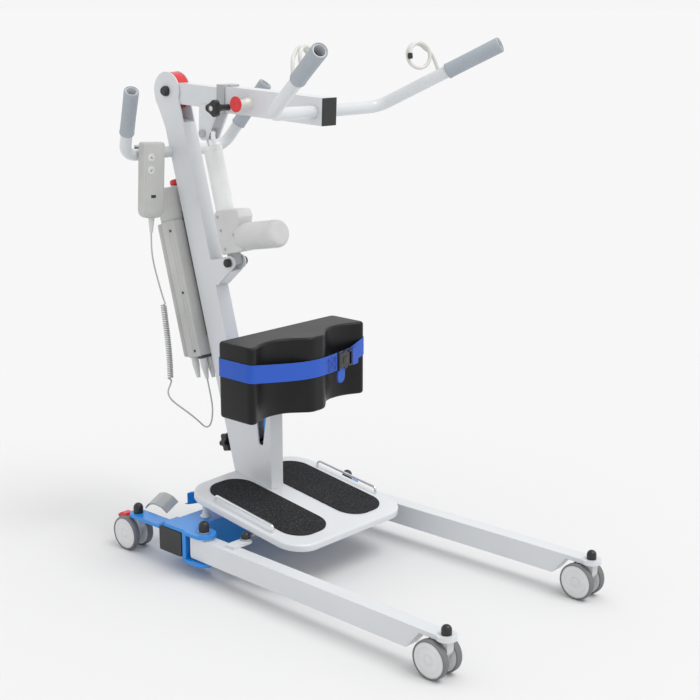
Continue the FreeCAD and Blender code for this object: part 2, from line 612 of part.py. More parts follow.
def boomSleeve():
    centre = -2.5
    half = size("sleeveHeight") / 2
    outer = box("sleeveTube", (-20, -501.5, centre - half), "Sizes.sleeveWidth", 299, "Sizes.sleeveHeight")
    inner = box("sleeveBore", (-17, -505, centre - half + 3), "Sizes.sleeveWidth - 2 * Sizes.tubeWall", 310,
                "Sizes.sleeveHeight - 2 * Sizes.tubeWall")
    inFrame(boomFrame, outer, inner)
    handleHole = cylinder("sleeveHandleHole", (-40, 30, 1021), "Sizes.handleTube / 2 + 0.02", 80, (1, 0, 0))
    knobHole = cylinder("starKnobHole", (-12, *STAR_KNOB), "4 + Sizes.runningGap", 20, (-1, 0, 0))
    node("boom_sleeve", cut("boomSleeve", outer, inner, handleHole, knobHole))

    collar = box("collarBlock", (-22.5, -203, centre - half - 2), 45, 26, "Sizes.sleeveHeight + 5")
    lip = box("collarLip", (-11, -212, centre + half), 22, 12, 3)
    mouth = box("collarMouth", (-15.35, -230, centre - 24.35), "Sizes.armWidth + 0.7", 60,
                "Sizes.armHeight + 0.7")
    seat = box("collarSeat", (-20, -230, centre - half), 40, 27.5, "Sizes.sleeveHeight")
    inFrame(boomFrame, collar, lip, mouth, seat)
    node("boom_collar", cut("boomCollar", fused("collarSolid", collar, lip), mouth, seat))

    plugFace = box("plugFace", (-20, -505.5, centre - half), "Sizes.sleeveWidth", 4, "Sizes.sleeveHeight")
    spigot = box("plugSpigot", (-16.8, -501.5, centre - half + 3.2), 33.6, 10, 51.6)
    node("boom_end_plug", inFrame(boomFrame, fused("boomEndPlug", plugFace, spigot)))


# ---------------------------------------------------------------- patient's handlebar
handleElbow = Vector(163, 9.6, 1024)
gripInner = Vector(226.9, -129.9, 1101.2)
gripAim = (gripInner - handleElbow).normalize()


def patientHandles():
    gripOuter = gripInner + gripAim * 128
    barEnd = gripOuter - gripAim * 1.5
    half = [tuple(barEnd), tuple(handleElbow), (45, 30, 1021)]
    route = half + [(-x, y, z) for x, y, z in reversed(half)]
    node("patient_handlebar", tube("patientHandlebar", route, size("handleTube"), size("handleTube") - 4,
                                   radii=[45, 150, 150, 45]))
    grips = []
    for side, sign in LEFT_RIGHT:
        start = (sign * gripInner.x, gripInner.y, gripInner.z)
        direction = (sign * gripAim.x, gripAim.y, gripAim.z)
        sleeve = cylinder(side + "HandGripSleeve", start, "Sizes.gripDiameter / 2", 128, direction)
        bore = cylinder(side + "HandGripBore", start, "Sizes.handleTube / 2 + 0.02", 132, direction)
        grips.append(cut(side + "HandGrip", sleeve, bore))
    node("patient_grips", grouped("patientGrips", *grips))


# ---------------------------------------------------------------- pigtail sling hooks on the handlebar
def hookRoute():
    """The right hook: up from the bar, then one and a half turns of an open coil."""
    facing = Vector(-0.30, -0.93, 0.20).normalize()
    across = Vector(-0.6767, 0.7362, 0)
    across = (across - facing * across.dot(facing)).normalize()
    upward = across.cross(facing).normalize()
    if upward.z < 0:
        upward = upward * -1
    foot = gripInner - gripAim * 22
    centre = foot + across * 54 + upward * 37
    route = [foot + upward * 10, foot + across * 9 + upward * 32, foot + across * 19 + upward * 48]
    steps = 17
    for step in range(steps + 1):
        turn = math.radians(42 + 513 * step / steps)
        drift = facing * (11 * step / 12)
        route.append(centre - across * 27 * math.cos(turn) + upward * 27 * math.sin(turn) + drift)
    return route


def slingHooks():
    route = [tuple(point) for point in hookRoute()]
    hooks = []
    for side, sign in LEFT_RIGHT:
        hook = tube(side + "HookRod", [(sign * x, y, z) for x, y, z in route], size("hookRod"))
        start = gripInner - gripAim * 60
        bar = cylinder(side + "HookBar", (sign * start.x, start.y, start.z), "Sizes.handleTube / 2", 60,
                       (sign * gripAim.x, gripAim.y, gripAim.z))
        hooks.append(cut(side + "Hook", hook, bar))
    node("sling_hooks", grouped("slingHooks", *hooks))
    end, before = Vector(*route[-1]), Vector(*route[-2])
    print("hook end", [round(value, 1) for value in end], "from", [round(value, 1) for value in before])

    posts = []
    discs = []
    for side, sign in LEFT_RIGHT:
        outward = (sign, 0, 0)
        stem = cylinder(side + "StudStem", (sign * 20, 227.8, 1029.3), 9, 36.5, outward)
        flare = cone(side + "StudFlare", (sign * 20, 227.8, 1029.3), 14, 9, 14, outward)
        posts.append(fused(side + "Stud", stem, flare))
        discs.append(cylinder(side + "StudDisc", (sign * 56.5, 227.8, 1029.3), 17.5, 4, outward))
    node("sling_studs", grouped("slingStuds", *posts))
    node("sling_stud_discs", grouped("slingStudDiscs", *discs))


# ---------------------------------------------------------------- clamping knobs
def knobs():
    centre = (0, STAR_KNOB[0], STAR_KNOB[1])
    head = [cylinder("starHub", (-58, centre[1], centre[2]), 12, 14, (-1, 0, 0))]
    for lobe in range(3):
        angle = math.radians(90 + 120 * lobe)
        spot = (-58, centre[1] + 12 * math.cos(angle), centre[2] + 12 * math.sin(angle))
        head.append(cylinder("starLobe%d" % lobe, spot, 8, 14, (-1, 0, 0)))
    neck = cone("starNeck", (-34, centre[1], centre[2]), 7, 11, 24, (-1, 0, 0))
    collarRing = cylinder("starCollar", (-20.5, centre[1], centre[2]), 7, 14, (-1, 0, 0))
    shank = cylinder("starShank", (-15.6, centre[1], centre[2]), 4, 8, (-1, 0, 0))
    node("boom_star_knob", fused("boomStarKnob", neck, collarRing, shank, *head))

    rearward = leaning.multVec(Vector(0, 1, 0))
    face = Vector(0, mastRear(230), 230)
    spin = Rotation(Vector(0, 0, 1), rearward)
    head = [cylinder("kneeKnobHub", tuple(face + rearward * 14), 18, 18, tuple(rearward))]
    for lobe in range(6):
        angle = math.radians(60 * lobe)
        offset = spin.multVec(Vector(17 * math.cos(angle), 17 * math.sin(angle), 0))
        head.append(cylinder("kneeKnobLobe%d" % lobe, tuple(face + rearward * 14 + offset), 6.5, 18,
                             tuple(rearward)))
    neck = cylinder("kneeKnobNeck", tuple(face + rearward * 0.5), 9, 14, tuple(rearward))
    shank = cylinder("kneeKnobShank", tuple(face + rearward * 2), 4, 116, tuple(rearward * -1))
    node("knee_clamp_knob", fused("kneeClampKnob", neck, shank, *head))


# ---------------------------------------------------------------- linear actuator
def actuator():
    housingLoop = roundedLoop([(-53.5, 18), (18, 21), (18.5, 116), (6, 124), (-62, 114), (-66, 96),
                               (-54, 74)],
                              [10, 4, 5, 12, 6, 6, 6])
    housing = padded("housingBlank", "YZ", housingLoop, "Sizes.housingWidth")
    neck = cylinder("housingNeck", (0, 0, 12), 14, 12)
    tang = box("housingTang", (-13, -9, -11), 26, 18, 30)
    tangEye = cylinder("housingEye", (-13, 0, 0), 11, 26, (1, 0, 0))
    tangHole = cylinder("housingHole", (-30, 0, 0), "6 + Sizes.runningGap", 60, (1, 0, 0))
    motorAim = Vector(0, -math.cos(math.radians(5.5)), -math.sin(math.radians(5.5)))
    motorStart = Vector(0, -46, 52)
    seat = cylinder("motorSeat", tuple(motorStart), "Sizes.motorDiameter / 2", 112, tuple(motorAim))
    tubeBore = cylinder("tubeSeat", (0, 0, 60), "Sizes.actuatorTubeDiameter / 2", 80)
    parts = [housing, neck, tang, tangEye]
    inFrame(actuatorFrame, tangHole, seat, tubeBore, *parts)
    solid = fused("housingSolid", *parts)
    node("actuator_housing", cut("actuatorHousing", solid, tangHole, seat, tubeBore))

    can = cylinder("motorCan", tuple(motorStart), "Sizes.motorDiameter / 2", 112, tuple(motorAim))
    motorEnd = motorStart + motorAim * 112
    nose = cone("motorNose", tuple(motorEnd), "Sizes.motorDiameter / 2", 25, 12, tuple(motorAim))
    node("actuator_motor", fused("actuatorMotor", inFrame(actuatorFrame, can), inFrame(actuatorFrame, nose)))

    outer = cylinder("outerTube", (0, 0, 60), "Sizes.actuatorTubeDiameter / 2", 204)
    outerBore = cylinder("outerTubeBore", (0, 0, 64), "Sizes.actuatorTubeDiameter / 2 - 3", 210)
    collar = cylinder("tubeCollar", (0, 0, 258), "Sizes.actuatorTubeDiameter / 2 + 0.6", 11)
    collarBore = cylinder("tubeCollarBore", (0, 0, 250), "Sizes.rodDiameter / 2 + Sizes.runningGap", 40)
    inFrame(actuatorFrame, outer, outerBore, collar, collarBore)
    node("actuator_tube", cut("actuatorTube", fused("tubeSolid", cut("tubeShell", outer, outerBore), collar),
                              collarBore))

    rod = cylinder("rodBar", (0, 0, 70), "Sizes.rodDiameter / 2", 214)
    eyeNeck = box("rodEyeNeck", (-7, -9, 280), 14, 18, 20)
    eye = cylinder("rodEye", (-7, 0, size("pinDistance")), 12, 14, (1, 0, 0))
    eyeHole = cylinder("rodEyeHole", (-20, 0, size("pinDistance")), 6.2, 40, (1, 0, 0))
    inFrame(actuatorFrame, rod, eyeNeck, eye, eyeHole)
    node("actuator_rod", cut("actuatorRod", fused("rodSolid", rod, eyeNeck, eye), eyeHole))


# ---------------------------------------------------------------- knee pad
def kneeSupport():
    half = size("kneePadHalfWidth")
    rear, front, cradle, ridge = 169, 57, 83, 38
    right = [(half, rear), (half, front), (128, cradle), (72, cradle), (20, ridge)]
    outline = right + [(-x, y) for x, y in reversed(right)]
    softening = [8, 9, 88, 60, 28]
    pad = padded("kneePad", "XY", roundedLoop(outline, softening + softening[::-1]), "Sizes.kneePadHeight",
                 symmetric=False, placement=Placement(Vector(0, 0, size("kneePadBottom")), Rotation()))
    node("knee_pad", pad)

    stem = box("stemBar", (-12, 181, 235), 24, 23, 217)
    link = box("stemLink", (-12, 174, 424), 24, 10, 28)
    plate = box("stemPlate", (-70, 169.3, 424), 140, 5.2, 28)
    node("knee_pad_stem", fused("kneePadStem", stem, link, plate))

    corners = [(half, rear), (half, front), (20, ridge), (-20, ridge), (-half, front), (-half, rear)]

    def strapLoop(gap):
        shifted = [(x + math.copysign(gap, x), y + (gap if y > 100 else -gap)) for x, y in corners]
        return roundedLoop(shifted, [8 + gap, 9 + gap, 60, 60, 9 + gap, 8 + gap])

    def strapBand(name, inner, outer, bottom, height):
        band = padded(name + "Blank", "XY", strapLoop(outer), height, symmetric=False,
                      placement=Placement(Vector(0, 0, bottom), Rotation()))
        hole = padded(name + "Hole", "XY", strapLoop(inner), height + 20, symmetric=False,
                      placement=Placement(Vector(0, 0, bottom - 10), Rotation()))
        return cut(name, band, hole)

    node("knee_strap", strapBand("kneeStrap", 0.5, 2.6, 455, 41))
    buckleLoop = roundedLoop([(66, 437), (122, 437), (122, 482), (66, 482)], 6)
    buckle = padded("strapBuckleBlank", "XZ", buckleLoop, 13, symmetric=False,
                    placement=Placement(Vector(0, 52.5, 0), Rotation()))
    node("strap_buckle", cut("strapBuckle", buckle, strapBand("buckleSlot", 0.2, 2.9, 454.7, 60)))


# ---------------------------------------------------------------- spreading legs and their tie rods
def leg(side, sign):
    pivot = Vector(sign * size("legPivotX"), size("legPivotY"), 0)
    castor = Vector(sign * size("frontCastorX"), size("frontCastorY"), 0)
    reach = pivot.distanceToPoint(castor)
    splay = math.degrees(math.atan2(sign * (abs(castor.x) - abs(pivot.x)), pivot.y - castor.y))
    frame = Placement(pivot, Rotation(Vector(0, 0, 1), splay))
    bottom, top = size("legBottom"), size("legTop")
    flange = top - 9.3
    outline = [(28, bottom), (28, top), (-reach, top), (-reach, flange), (-reach + 53, flange),
               (-reach + 86, bottom)]
    blank = padded(side + "LegBlank", "YZ", roundedLoop(outline, [4, 4, 0, 0, 0, 4]), "Sizes.legWidth")
    bore = box(side + "LegBore", (-14.5, -reach + 100, bottom + 3), "Sizes.legWidth - 2 * Sizes.tubeWall",
               reach - 75, "Sizes.legTop - Sizes.legBottom - 2 * Sizes.tubeWall")
    boss = cylinder(side + "LegBoss", (0, 0, bottom - 2.8), 12, top - bottom + 6.7)
    spacer = cylinder(side + "LegSpacer", (0, 0, top), 22, 4)
    nosePad = cylinder(side + "LegNose", (0, -reach, flange), 21.5, top - flange)
    pivotHole = cylinder(side + "LegPivotHole", (0, 0, bottom - 10),
                         "Sizes.pivotBoltDiameter / 2 + Sizes.runningGap",
                         90)
    stemBore = cylinder(side + "LegStemBore", (0, -reach, flange - 10),
                        "Sizes.castorStem / 2 + Sizes.runningGap", 40)
    items = [blank, bore, boss, spacer, nosePad, pivotHole, stemBore]
    inFrame(frame, *items)
    inboard = size("tabX")
    tab = box(side + "Tab", (min(sign * inboard, sign * 238), size("tabY") - 14, top), 238 - inboard, 28, 6)
    tabEnd = cylinder(side + "TabEnd", (sign * inboard, size("tabY"), top), 14, 6)
    shell = cut(side + "LegShell", blank, bore)
    welded = fused(side + "LegWelded", shell, boss, spacer, nosePad, tab, tabEnd)
    node("leg_" + side, cut(side + "Leg", welded, pivotHole, stemBore))

    castorDome = dome(side + "FrontDome", (castor.x, castor.y, top), 10.5, 20)
    shank = cylinder(side + "TabShank", (sign * inboard, size("tabY"), top + 6), 5, 6)
    tabDome = dome(side + "TabDomeCap", (sign * inboard, size("tabY"), top + 11.3), 10.5, 14)
    node("leg_caps_" + side, grouped(side + "LegCaps", castorDome, fused(side + "TabBolt", shank, tabDome)))


def tieRod(side, sign):
    """From the leg's tab to one crank pin: the left rod to the upper pin, the right to the lower."""
    level = size("legTop") + 8.6
    pinLevel = size("shaftHeight") - sign * size("crankRadius")
    start = Vector(sign * size("tabX"), size("tabY"), level)
    end = Vector(0, size("crankY"), pinLevel)
    inward = Vector(-sign * 0.97, 0.24, 0).normalize()
    knee = start + inward * 46
    slope = (end - knee).normalize()
    eye = cylinder(side + "RodEye", (start.x, start.y, level - 2.3), 12, 4.6)
    eyeHole = cylinder(side + "RodEyeHole", (start.x, start.y, level - 10), "5 + Sizes.runningGap", 20)
    ring = cylinder(side + "RodRing", (end.x, end.y - 5, end.z), 12.5, 10, (0, 1, 0))
    ringHole = cylinder(side + "RodRingHole", (end.x, end.y - 10, end.z), 9, 20, (0, 1, 0))
    neck = cylinder(side + "RodNeck", tuple(start + inward * 9), 2, 14, tuple(inward))
    bar = tube(side + "RodBar", [tuple(start + inward * 18), tuple(knee), tuple(end - slope * 10.5)], 9,
               radii=24)
    node("tie_rod_" + side, cut(side + "TieRod", fused(side + "TieRodSolid", eye, ring, neck, bar), eyeHole,
                                ringHole))


# ---------------------------------------------------------------- spreader pedal
def pedal():
    height, crank = size("shaftHeight"), size("crankRadius")
    crankY = size("crankY")
    shaft = cylinder("pedalShaft", (0, crankY + 8, height), "Sizes.shaftDiameter / 2", 325 - crankY - 8,
                     (0, 1, 0))
    crankPlate = box("crankPlate", (-9, crankY + 8, height - crank - 8), 18, 6, 2 * (crank + 8))
    pins = [cylinder("crankPin%d" % index, (0, crankY - 6, height + direction * crank), 4, 15, (0, 1, 0))
            for index, direction in enumerate((1, -1))]
    riser = box("pedalRiser", (-16, 319, height - 14), 32, 8.5, 60)
    bowTop, bowHeight = 126, 28
    middle, bend, sweep = 60, 143, math.radians(53.5)

    def bowEdge(offset):
        """Straight behind the cross tube, then one arc rearward at each end."""
        radius = bend - offset
        centreY = 329 + bend
        ends = []
        arcs = []
        for sign in (1, -1):
            points = [Vector(sign * (middle + radius * math.sin(sweep * share)),
                             centreY - radius * math.cos(sweep * share), 0) for share in (0, 0.5, 1)]
            arcs.append(Part.Arc(*points))
            ends.append(points)
        return [Part.LineSegment(ends[0][0], ends[1][0])] + arcs, ends[0][2], ends[1][2]

    frontEdge, frontRight, frontLeft = bowEdge(-4)
    rearEdge, rearRight, rearLeft = bowEdge(4)
    loop = frontEdge + rearEdge + [Part.LineSegment(frontRight, rearRight),
                                   Part.LineSegment(frontLeft, rearLeft)]
    bow = padded("pedalBow", "XY", loop, bowHeight, symmetric=False,
                 placement=Placement(Vector(0, 0, bowTop - bowHeight), Rotation()))
    underside = [(30.5, -10.5), (18.5, 3.6), (0, 9.2), (-18.5, 3.6), (-30.5, -10.5)]
    above = []
    pads = []
    for side, sign in LEFT_RIGHT:
        outline = [(-33, -9), (-20, 6), (0, 12), (20, 6), (33, -9)] + underside
        arch = padded(side + "PedalPad", "YZ", roundedLoop(outline, [0, 14, 20, 14, 0, 0, 12, 18, 12, 0]), 46)
        trimLoop = roundedLoop(underside + [(-60, -10.5), (-60, 80), (60, 80), (60, -10.5)],
                               [0, 12, 18, 12, 0, 0, 0, 0, 0])
        trim = padded(side + "PedalTrim", "YZ", trimLoop, 90)
        seat = Placement(Vector(sign * 167, 397, 101), Rotation(Vector(0, 0, 1), -sign * 12).multiply(
            Rotation(Vector(0, 1, 0), sign * 18)))
        inFrame(seat, arch, trim)
        above.append(trim)
        pads.append(arch)
    bow = cut("pedalBowTrimmed", bow, *above)
    node("spreader_pedal", fused("spreaderPedal", shaft, crankPlate, riser, bow, *pins))
    node("pedal_pads", grouped("pedalPads", *pads))


# ---------------------------------------------------------------- castors
BRAKE_PIN = (20.5, 62.5)


def castor(place, x, y, braked):
    trail = size("castorTrail")
    radius = size("wheelRadius")
    spot = Placement(Vector(x, y, 0), Rotation())
    loop = roundedLoop([(-10, 81.7), (10, 81.7), (trail + 17, 52), (trail + 15, 27), (trail - 10, 25),
                        (-10, 56)],
                       [0, 3, 12, 10, 10, 10])
    web = padded(place + "ForkWeb", "YZ", loop, "Sizes.forkWidth")
    stem = cylinder(place + "Stem", (0, 0, 76), "Sizes.castorStem / 2", 13.5)
    axleHole = cylinder(place + "AxleHole", (-20, trail, radius), "5 + Sizes.runningGap", 40, (1, 0, 0))
    solid = inFrame(spot, fused(place + "ForkSolid", web, stem))
    tools = [inFrame(spot, axleHole)]
    if braked:
        tools.append(inFrame(spot, box(place + "BrakeSlot", (-6.4, 11.5, 55), 12.8, 40, 40)))
    fork = cut(place + "Fork", solid, *tools)
    if braked:
        pin = cylinder(place + "BrakePin", (-9.5, BRAKE_PIN[0], BRAKE_PIN[1]), 2, 19, (1, 0, 0))
        fork = fused(place + "ForkAndPin", fork, inFrame(spot, pin))
    node("castor_fork_" + place, fork)

    wheels = [cylinder(place + "Axle", (x - 27, y + trail, radius), 5, 54, (1, 0, 0))]
    for sign in (-1, 1):
        outer = size("castorHalfWidth")
        rim = outer - 3
        barrel = outer - size("wheelWidth") + 2.5
        wheels += [
            cylinder("%sWheel%d" % (place, sign + 1), (x + sign * barrel, y + trail, radius),
                     "Sizes.wheelRadius",
                     rim - barrel, (sign, 0, 0)),
            cone("%sInnerEdge%d" % (place, sign + 1), (x + sign * (outer - size("wheelWidth")), y + trail,
                                                       radius),
                 "Sizes.wheelRadius - 3", "Sizes.wheelRadius", 2.5, (sign, 0, 0)),
            cone("%sOuterEdge%d" % (place, sign + 1), (x + sign * rim, y + trail, radius),
                 "Sizes.wheelRadius",
                 "Sizes.wheelRadius - 5", 3, (sign, 0, 0)),
        ]
    node("castor_wheels_" + place, fused(place + "Wheels", *wheels))
    if braked:
        leverLoop = roundedLoop([(33, 70), (38, 65), (62, 67), (64, 73), (52, 80.5), (36, 80.5)],
                                [3, 3, 3, 3, 6, 3])
        tread = padded(place + "BrakeTread", "YZ", leverLoop, 21)
        tangLoop = roundedLoop([(15.5, 63), (20, 57), (40, 66), (40, 76), (33, 76), (18, 68)],
                               [3, 4, 0, 0, 3, 3])
        tang = padded(place + "BrakeTang", "YZ", tangLoop, 12)
        pinHole = cylinder(place + "BrakePinHole", (-20, *BRAKE_PIN), "2 + Sizes.runningGap", 40, (1, 0, 0))
        inFrame(spot, tread, tang, pinHole)
        node("brake_pedal_" + place, cut(place + "Brake", fused(place + "BrakeSolid", tread, tang), pinHole))


def build():
    endCaps = chassis()
    footplate()
    mast()
    boltsAndCaps(endCaps)
    pushHandles()
    controlBox()
    reliefEnd = handset()
    cords(reliefEnd)
    boom()
    boomSleeve()
    patientHandles()
    slingHooks()
    knobs()
    actuator()
    kneeSupport()
    pedal()
    for side, sign in LEFT_RIGHT:
        leg(side, sign)
        tieRod(side, sign)
        castor("front_" + side, sign * size("frontCastorX"), size("frontCastorY"), False)
        castor("rear_" + side, sign * size("rearCastorX"), size("rearCastorY"), True)
    document.recompute()


def export():
    faults = [item.Name for item in document.Objects if {"Invalid", "Error"} & set(item.State)]
    faults += [name for name, item in nodes.items() if item.Shape.isNull() or not item.Shape.isValid()]
    faults += [name for name, item in nodes.items() if not item.Shape.Solids]
    if faults:
        raise RuntimeError("failed objects: " + ", ".join(faults))
    os.makedirs("parts", exist_ok=True)
    for name, item in nodes.items():
        item.Shape.exportStep("parts/%s.step" % name)
    whole = Part.makeCompound([item.Shape for item in nodes.values()]).BoundBox
    print(len(nodes), "nodes, box", [round(edge, 1) for edge in (
        whole.XMin, whole.XMax, whole.YMin, whole.YMax, whole.ZMin, whole.ZMax)])


build()
export()
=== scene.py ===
import math

import bmesh
import bpy
from mathutils import Matrix, Vector


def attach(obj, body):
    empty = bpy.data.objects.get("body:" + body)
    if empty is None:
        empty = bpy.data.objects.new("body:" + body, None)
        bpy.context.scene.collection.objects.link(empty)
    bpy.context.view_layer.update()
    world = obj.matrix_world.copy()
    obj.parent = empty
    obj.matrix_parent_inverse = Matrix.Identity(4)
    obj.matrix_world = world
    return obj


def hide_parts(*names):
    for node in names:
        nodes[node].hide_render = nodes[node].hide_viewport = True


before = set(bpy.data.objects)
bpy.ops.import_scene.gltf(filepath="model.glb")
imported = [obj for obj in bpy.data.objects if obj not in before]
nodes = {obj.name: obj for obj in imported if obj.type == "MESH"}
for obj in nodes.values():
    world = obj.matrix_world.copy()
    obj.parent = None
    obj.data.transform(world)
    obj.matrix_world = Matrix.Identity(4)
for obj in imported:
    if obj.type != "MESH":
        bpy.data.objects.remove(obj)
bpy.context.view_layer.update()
print("frame loaded:", len(nodes), "nodes")

mm = 0.001
toMetres = Matrix.Scale(mm, 4)
sides = {"left": -1, "right": 1}

# the leaning mast, the actuator, the boom, the footplate and the handset each have their own frame
leanTurn = Matrix.Rotation(math.radians(-15.18), 4, "X")
mastFrame = Matrix.Translation((0, 297.5, 162.3)) @ leanTurn
actuatorFrame = Matrix.Translation((0, 301.9, 665.2)) @ leanTurn
boomFrame = Matrix.Translation((0, 506.5, 1045)) @ Matrix.Rotation(math.radians(2.4), 4, "X")
plateFrame = Matrix.Translation((0, 17.9, 125.2)) @ Matrix.Rotation(math.radians(7.66), 4, "X")
handsetFrame = Matrix.Translation((-99, 474.5, 848)) @ Matrix.Rotation(math.radians(3.6), 4, "Y")


# ---- materials

def startMaterial(name, colour, roughness, metallic=0.0, coat=0.0, sheen=0.0, gloss=0.5):
    material = bpy.data.materials.new(name)
    material.use_nodes = True
    tree = material.node_tree
    shader = tree.nodes["Principled BSDF"]
    shader.inputs["Base Color"].default_value = (*colour, 1)
    shader.inputs["Roughness"].default_value = roughness
    shader.inputs["Metallic"].default_value = metallic
    shader.inputs["Coat Weight"].default_value = coat
    shader.inputs["Coat Roughness"].default_value = 0.15
    shader.inputs["Sheen Weight"].default_value = sheen
    shader.inputs["Specular IOR Level"].default_value = gloss
    return material, tree, shader


def noiseNode(tree, scale, detail=3.0):
    place = tree.nodes.new("ShaderNodeTexCoord")
    noise = tree.nodes.new("ShaderNodeTexNoise")
    noise.inputs["Scale"].default_value = scale
    noise.inputs["Detail"].default_value = detail
    tree.links.new(place.outputs["Object"], noise.inputs["Vector"])
    return noise


def varyColour(tree, shader, source, colour, amount):
    ramp = tree.nodes.new("ShaderNodeValToRGB")
    low, high = ramp.color_ramp.elements
    low.position, high.position = 0.35, 0.65
    low.color = (*[channel * (1 - amount) for channel in colour], 1)
    high.color = (*[min(channel * (1 + amount), 1) for channel in colour], 1)
    tree.links.new(source, ramp.inputs["Fac"])
    tree.links.new(ramp.outputs["Color"], shader.inputs["Base Color"])
    return ramp


def varyRoughness(tree, shader, source, low, high):
    spread = tree.nodes.new("ShaderNodeMapRange")
    spread.inputs["To Min"].default_value = low
    spread.inputs["To Max"].default_value = high
    tree.links.new(source, spread.inputs["Value"])
    tree.links.new(spread.outputs["Result"], shader.inputs["Roughness"])


def addBump(tree, shader, source, depth, strength=1.0, edge=0.0):
    bump = tree.nodes.new("ShaderNodeBump")
    bump.inputs["Strength"].default_value = strength
    bump.inputs["Distance"].default_value = depth
    tree.links.new(source, bump.inputs["Height"])
    if edge:  # softens the hard edges of the frame's own meshes
        soft = tree.nodes.new("ShaderNodeBevel")
        soft.samples = 6
        soft.inputs["Radius"].default_value = edge
        tree.links.new(soft.outputs["Normal"], bump.inputs["Normal"])
    tree.links.new(bump.outputs["Normal"], shader.inputs["Normal"])


def paint(name, colour, roughness=0.32, edge=0.0012):
    material, tree, shader = startMaterial(name, colour, roughness, coat=0.25)
    broad = noiseNode(tree, 6, 4)
    peel = noiseNode(tree, 900, 2)
    varyColour(tree, shader, broad.outputs["Fac"], colour, 0.025)
    varyRoughness(tree, shader, broad.outputs["Fac"], roughness - 0.06, roughness + 0.08)
    addBump(tree, shader, peel.outputs["Fac"], 0.00003, 0.5, edge)
    return material


def plastic(name, colour, roughness=0.45, grain=1800, depth=0.00004, edge=0.0008, coat=0.0):
    material, tree, shader = startMaterial(name, colour, roughness, coat=coat)
    broad = noiseNode(tree, 14, 4)
    texture = noiseNode(tree, grain, 2)
    varyColour(tree, shader, broad.outputs["Fac"], colour, 0.05)
    varyRoughness(tree, shader, broad.outputs["Fac"], roughness - 0.05, roughness + 0.07)
    addBump(tree, shader, texture.outputs["Fac"], depth, 0.6, edge)
    return material


def metal(name, colour, roughness=0.3):
    material, tree, shader = startMaterial(name, colour, roughness, metallic=1.0)
    streaks = noiseNode(tree, 260, 3)
    varyRoughness(tree, shader, streaks.outputs["Fac"], roughness - 0.08, roughness + 0.12)
    addBump(tree, shader, streaks.outputs["Fac"], 0.00002, 0.4, 0.0005)
    return material


def foamSkin(name, colour):
    material, tree, shader = startMaterial(name, colour, 0.38, gloss=0.28)
    grain = tree.nodes.new("ShaderNodeTexVoronoi")
    grain.inputs["Scale"].default_value = 700
    place = tree.nodes.new("ShaderNodeTexCoord")
    tree.links.new(place.outputs["Object"], grain.inputs["Vector"])
    broad = noiseNode(tree, 9, 5)
    varyColour(tree, shader, broad.outputs["Fac"], colour, 0.3)
    varyRoughness(tree, shader, broad.outputs["Fac"], 0.34, 0.46)
    addBump(tree, shader, grain.outputs["Distance"], 0.00012, 0.5)
    return material


def grit(name, colour, speck):
    material, tree, shader = startMaterial(name, colour, 0.85, gloss=0.2)
    coarse = noiseNode(tree, 520, 2)
    ramp = varyColour(tree, shader, coarse.outputs["Fac"], colour, 0.3)
    ramp.color_ramp.elements[0].position = 0.5
    ramp.color_ramp.elements[1].position = 0.72
    ramp.color_ramp.elements[1].color = (*speck, 1)
    addBump(tree, shader, coarse.outputs["Fac"], 0.0009, 0.9)
    return material


def webbingCloth(name, colour):
    material, tree, shader = startMaterial(name, colour, 0.7, sheen=0.2, gloss=0.2)
    place = tree.nodes.new("ShaderNodeTexCoord")
    split = tree.nodes.new("ShaderNodeSeparateXYZ")
    tree.links.new(place.outputs["UV"], split.inputs["Vector"])
    waves = []
    for axis, pitch in (("X", 2.8), ("Y", 2.2)):  # one wave along the band, one across it, in millimetres
        turn = tree.nodes.new("ShaderNodeMath")
        turn.operation = "MULTIPLY"
        turn.inputs[1].default_value = 2 * math.pi / pitch
        tree.links.new(split.outputs[axis], turn.inputs[0])
        wave = tree.nodes.new("ShaderNodeMath")
        wave.operation = "SINE"
        tree.links.new(turn.outputs[0], wave.inputs[0])
        waves.append(wave)
    weave = tree.nodes.new("ShaderNodeMath")
    weave.operation = "MULTIPLY"
    tree.links.new(waves[0].outputs[0], weave.inputs[0])
    tree.links.new(waves[1].outputs[0], weave.inputs[1])
    centred = tree.nodes.new("ShaderNodeMapRange")
    centred.inputs["From Min"].default_value = -1
    tree.links.new(weave.outputs[0], centred.inputs["Value"])
    varyColour(tree, shader, centred.outputs["Result"], colour, 0.22)
    addBump(tree, shader, centred.outputs["Result"], 0.0003, 0.6)
    return material


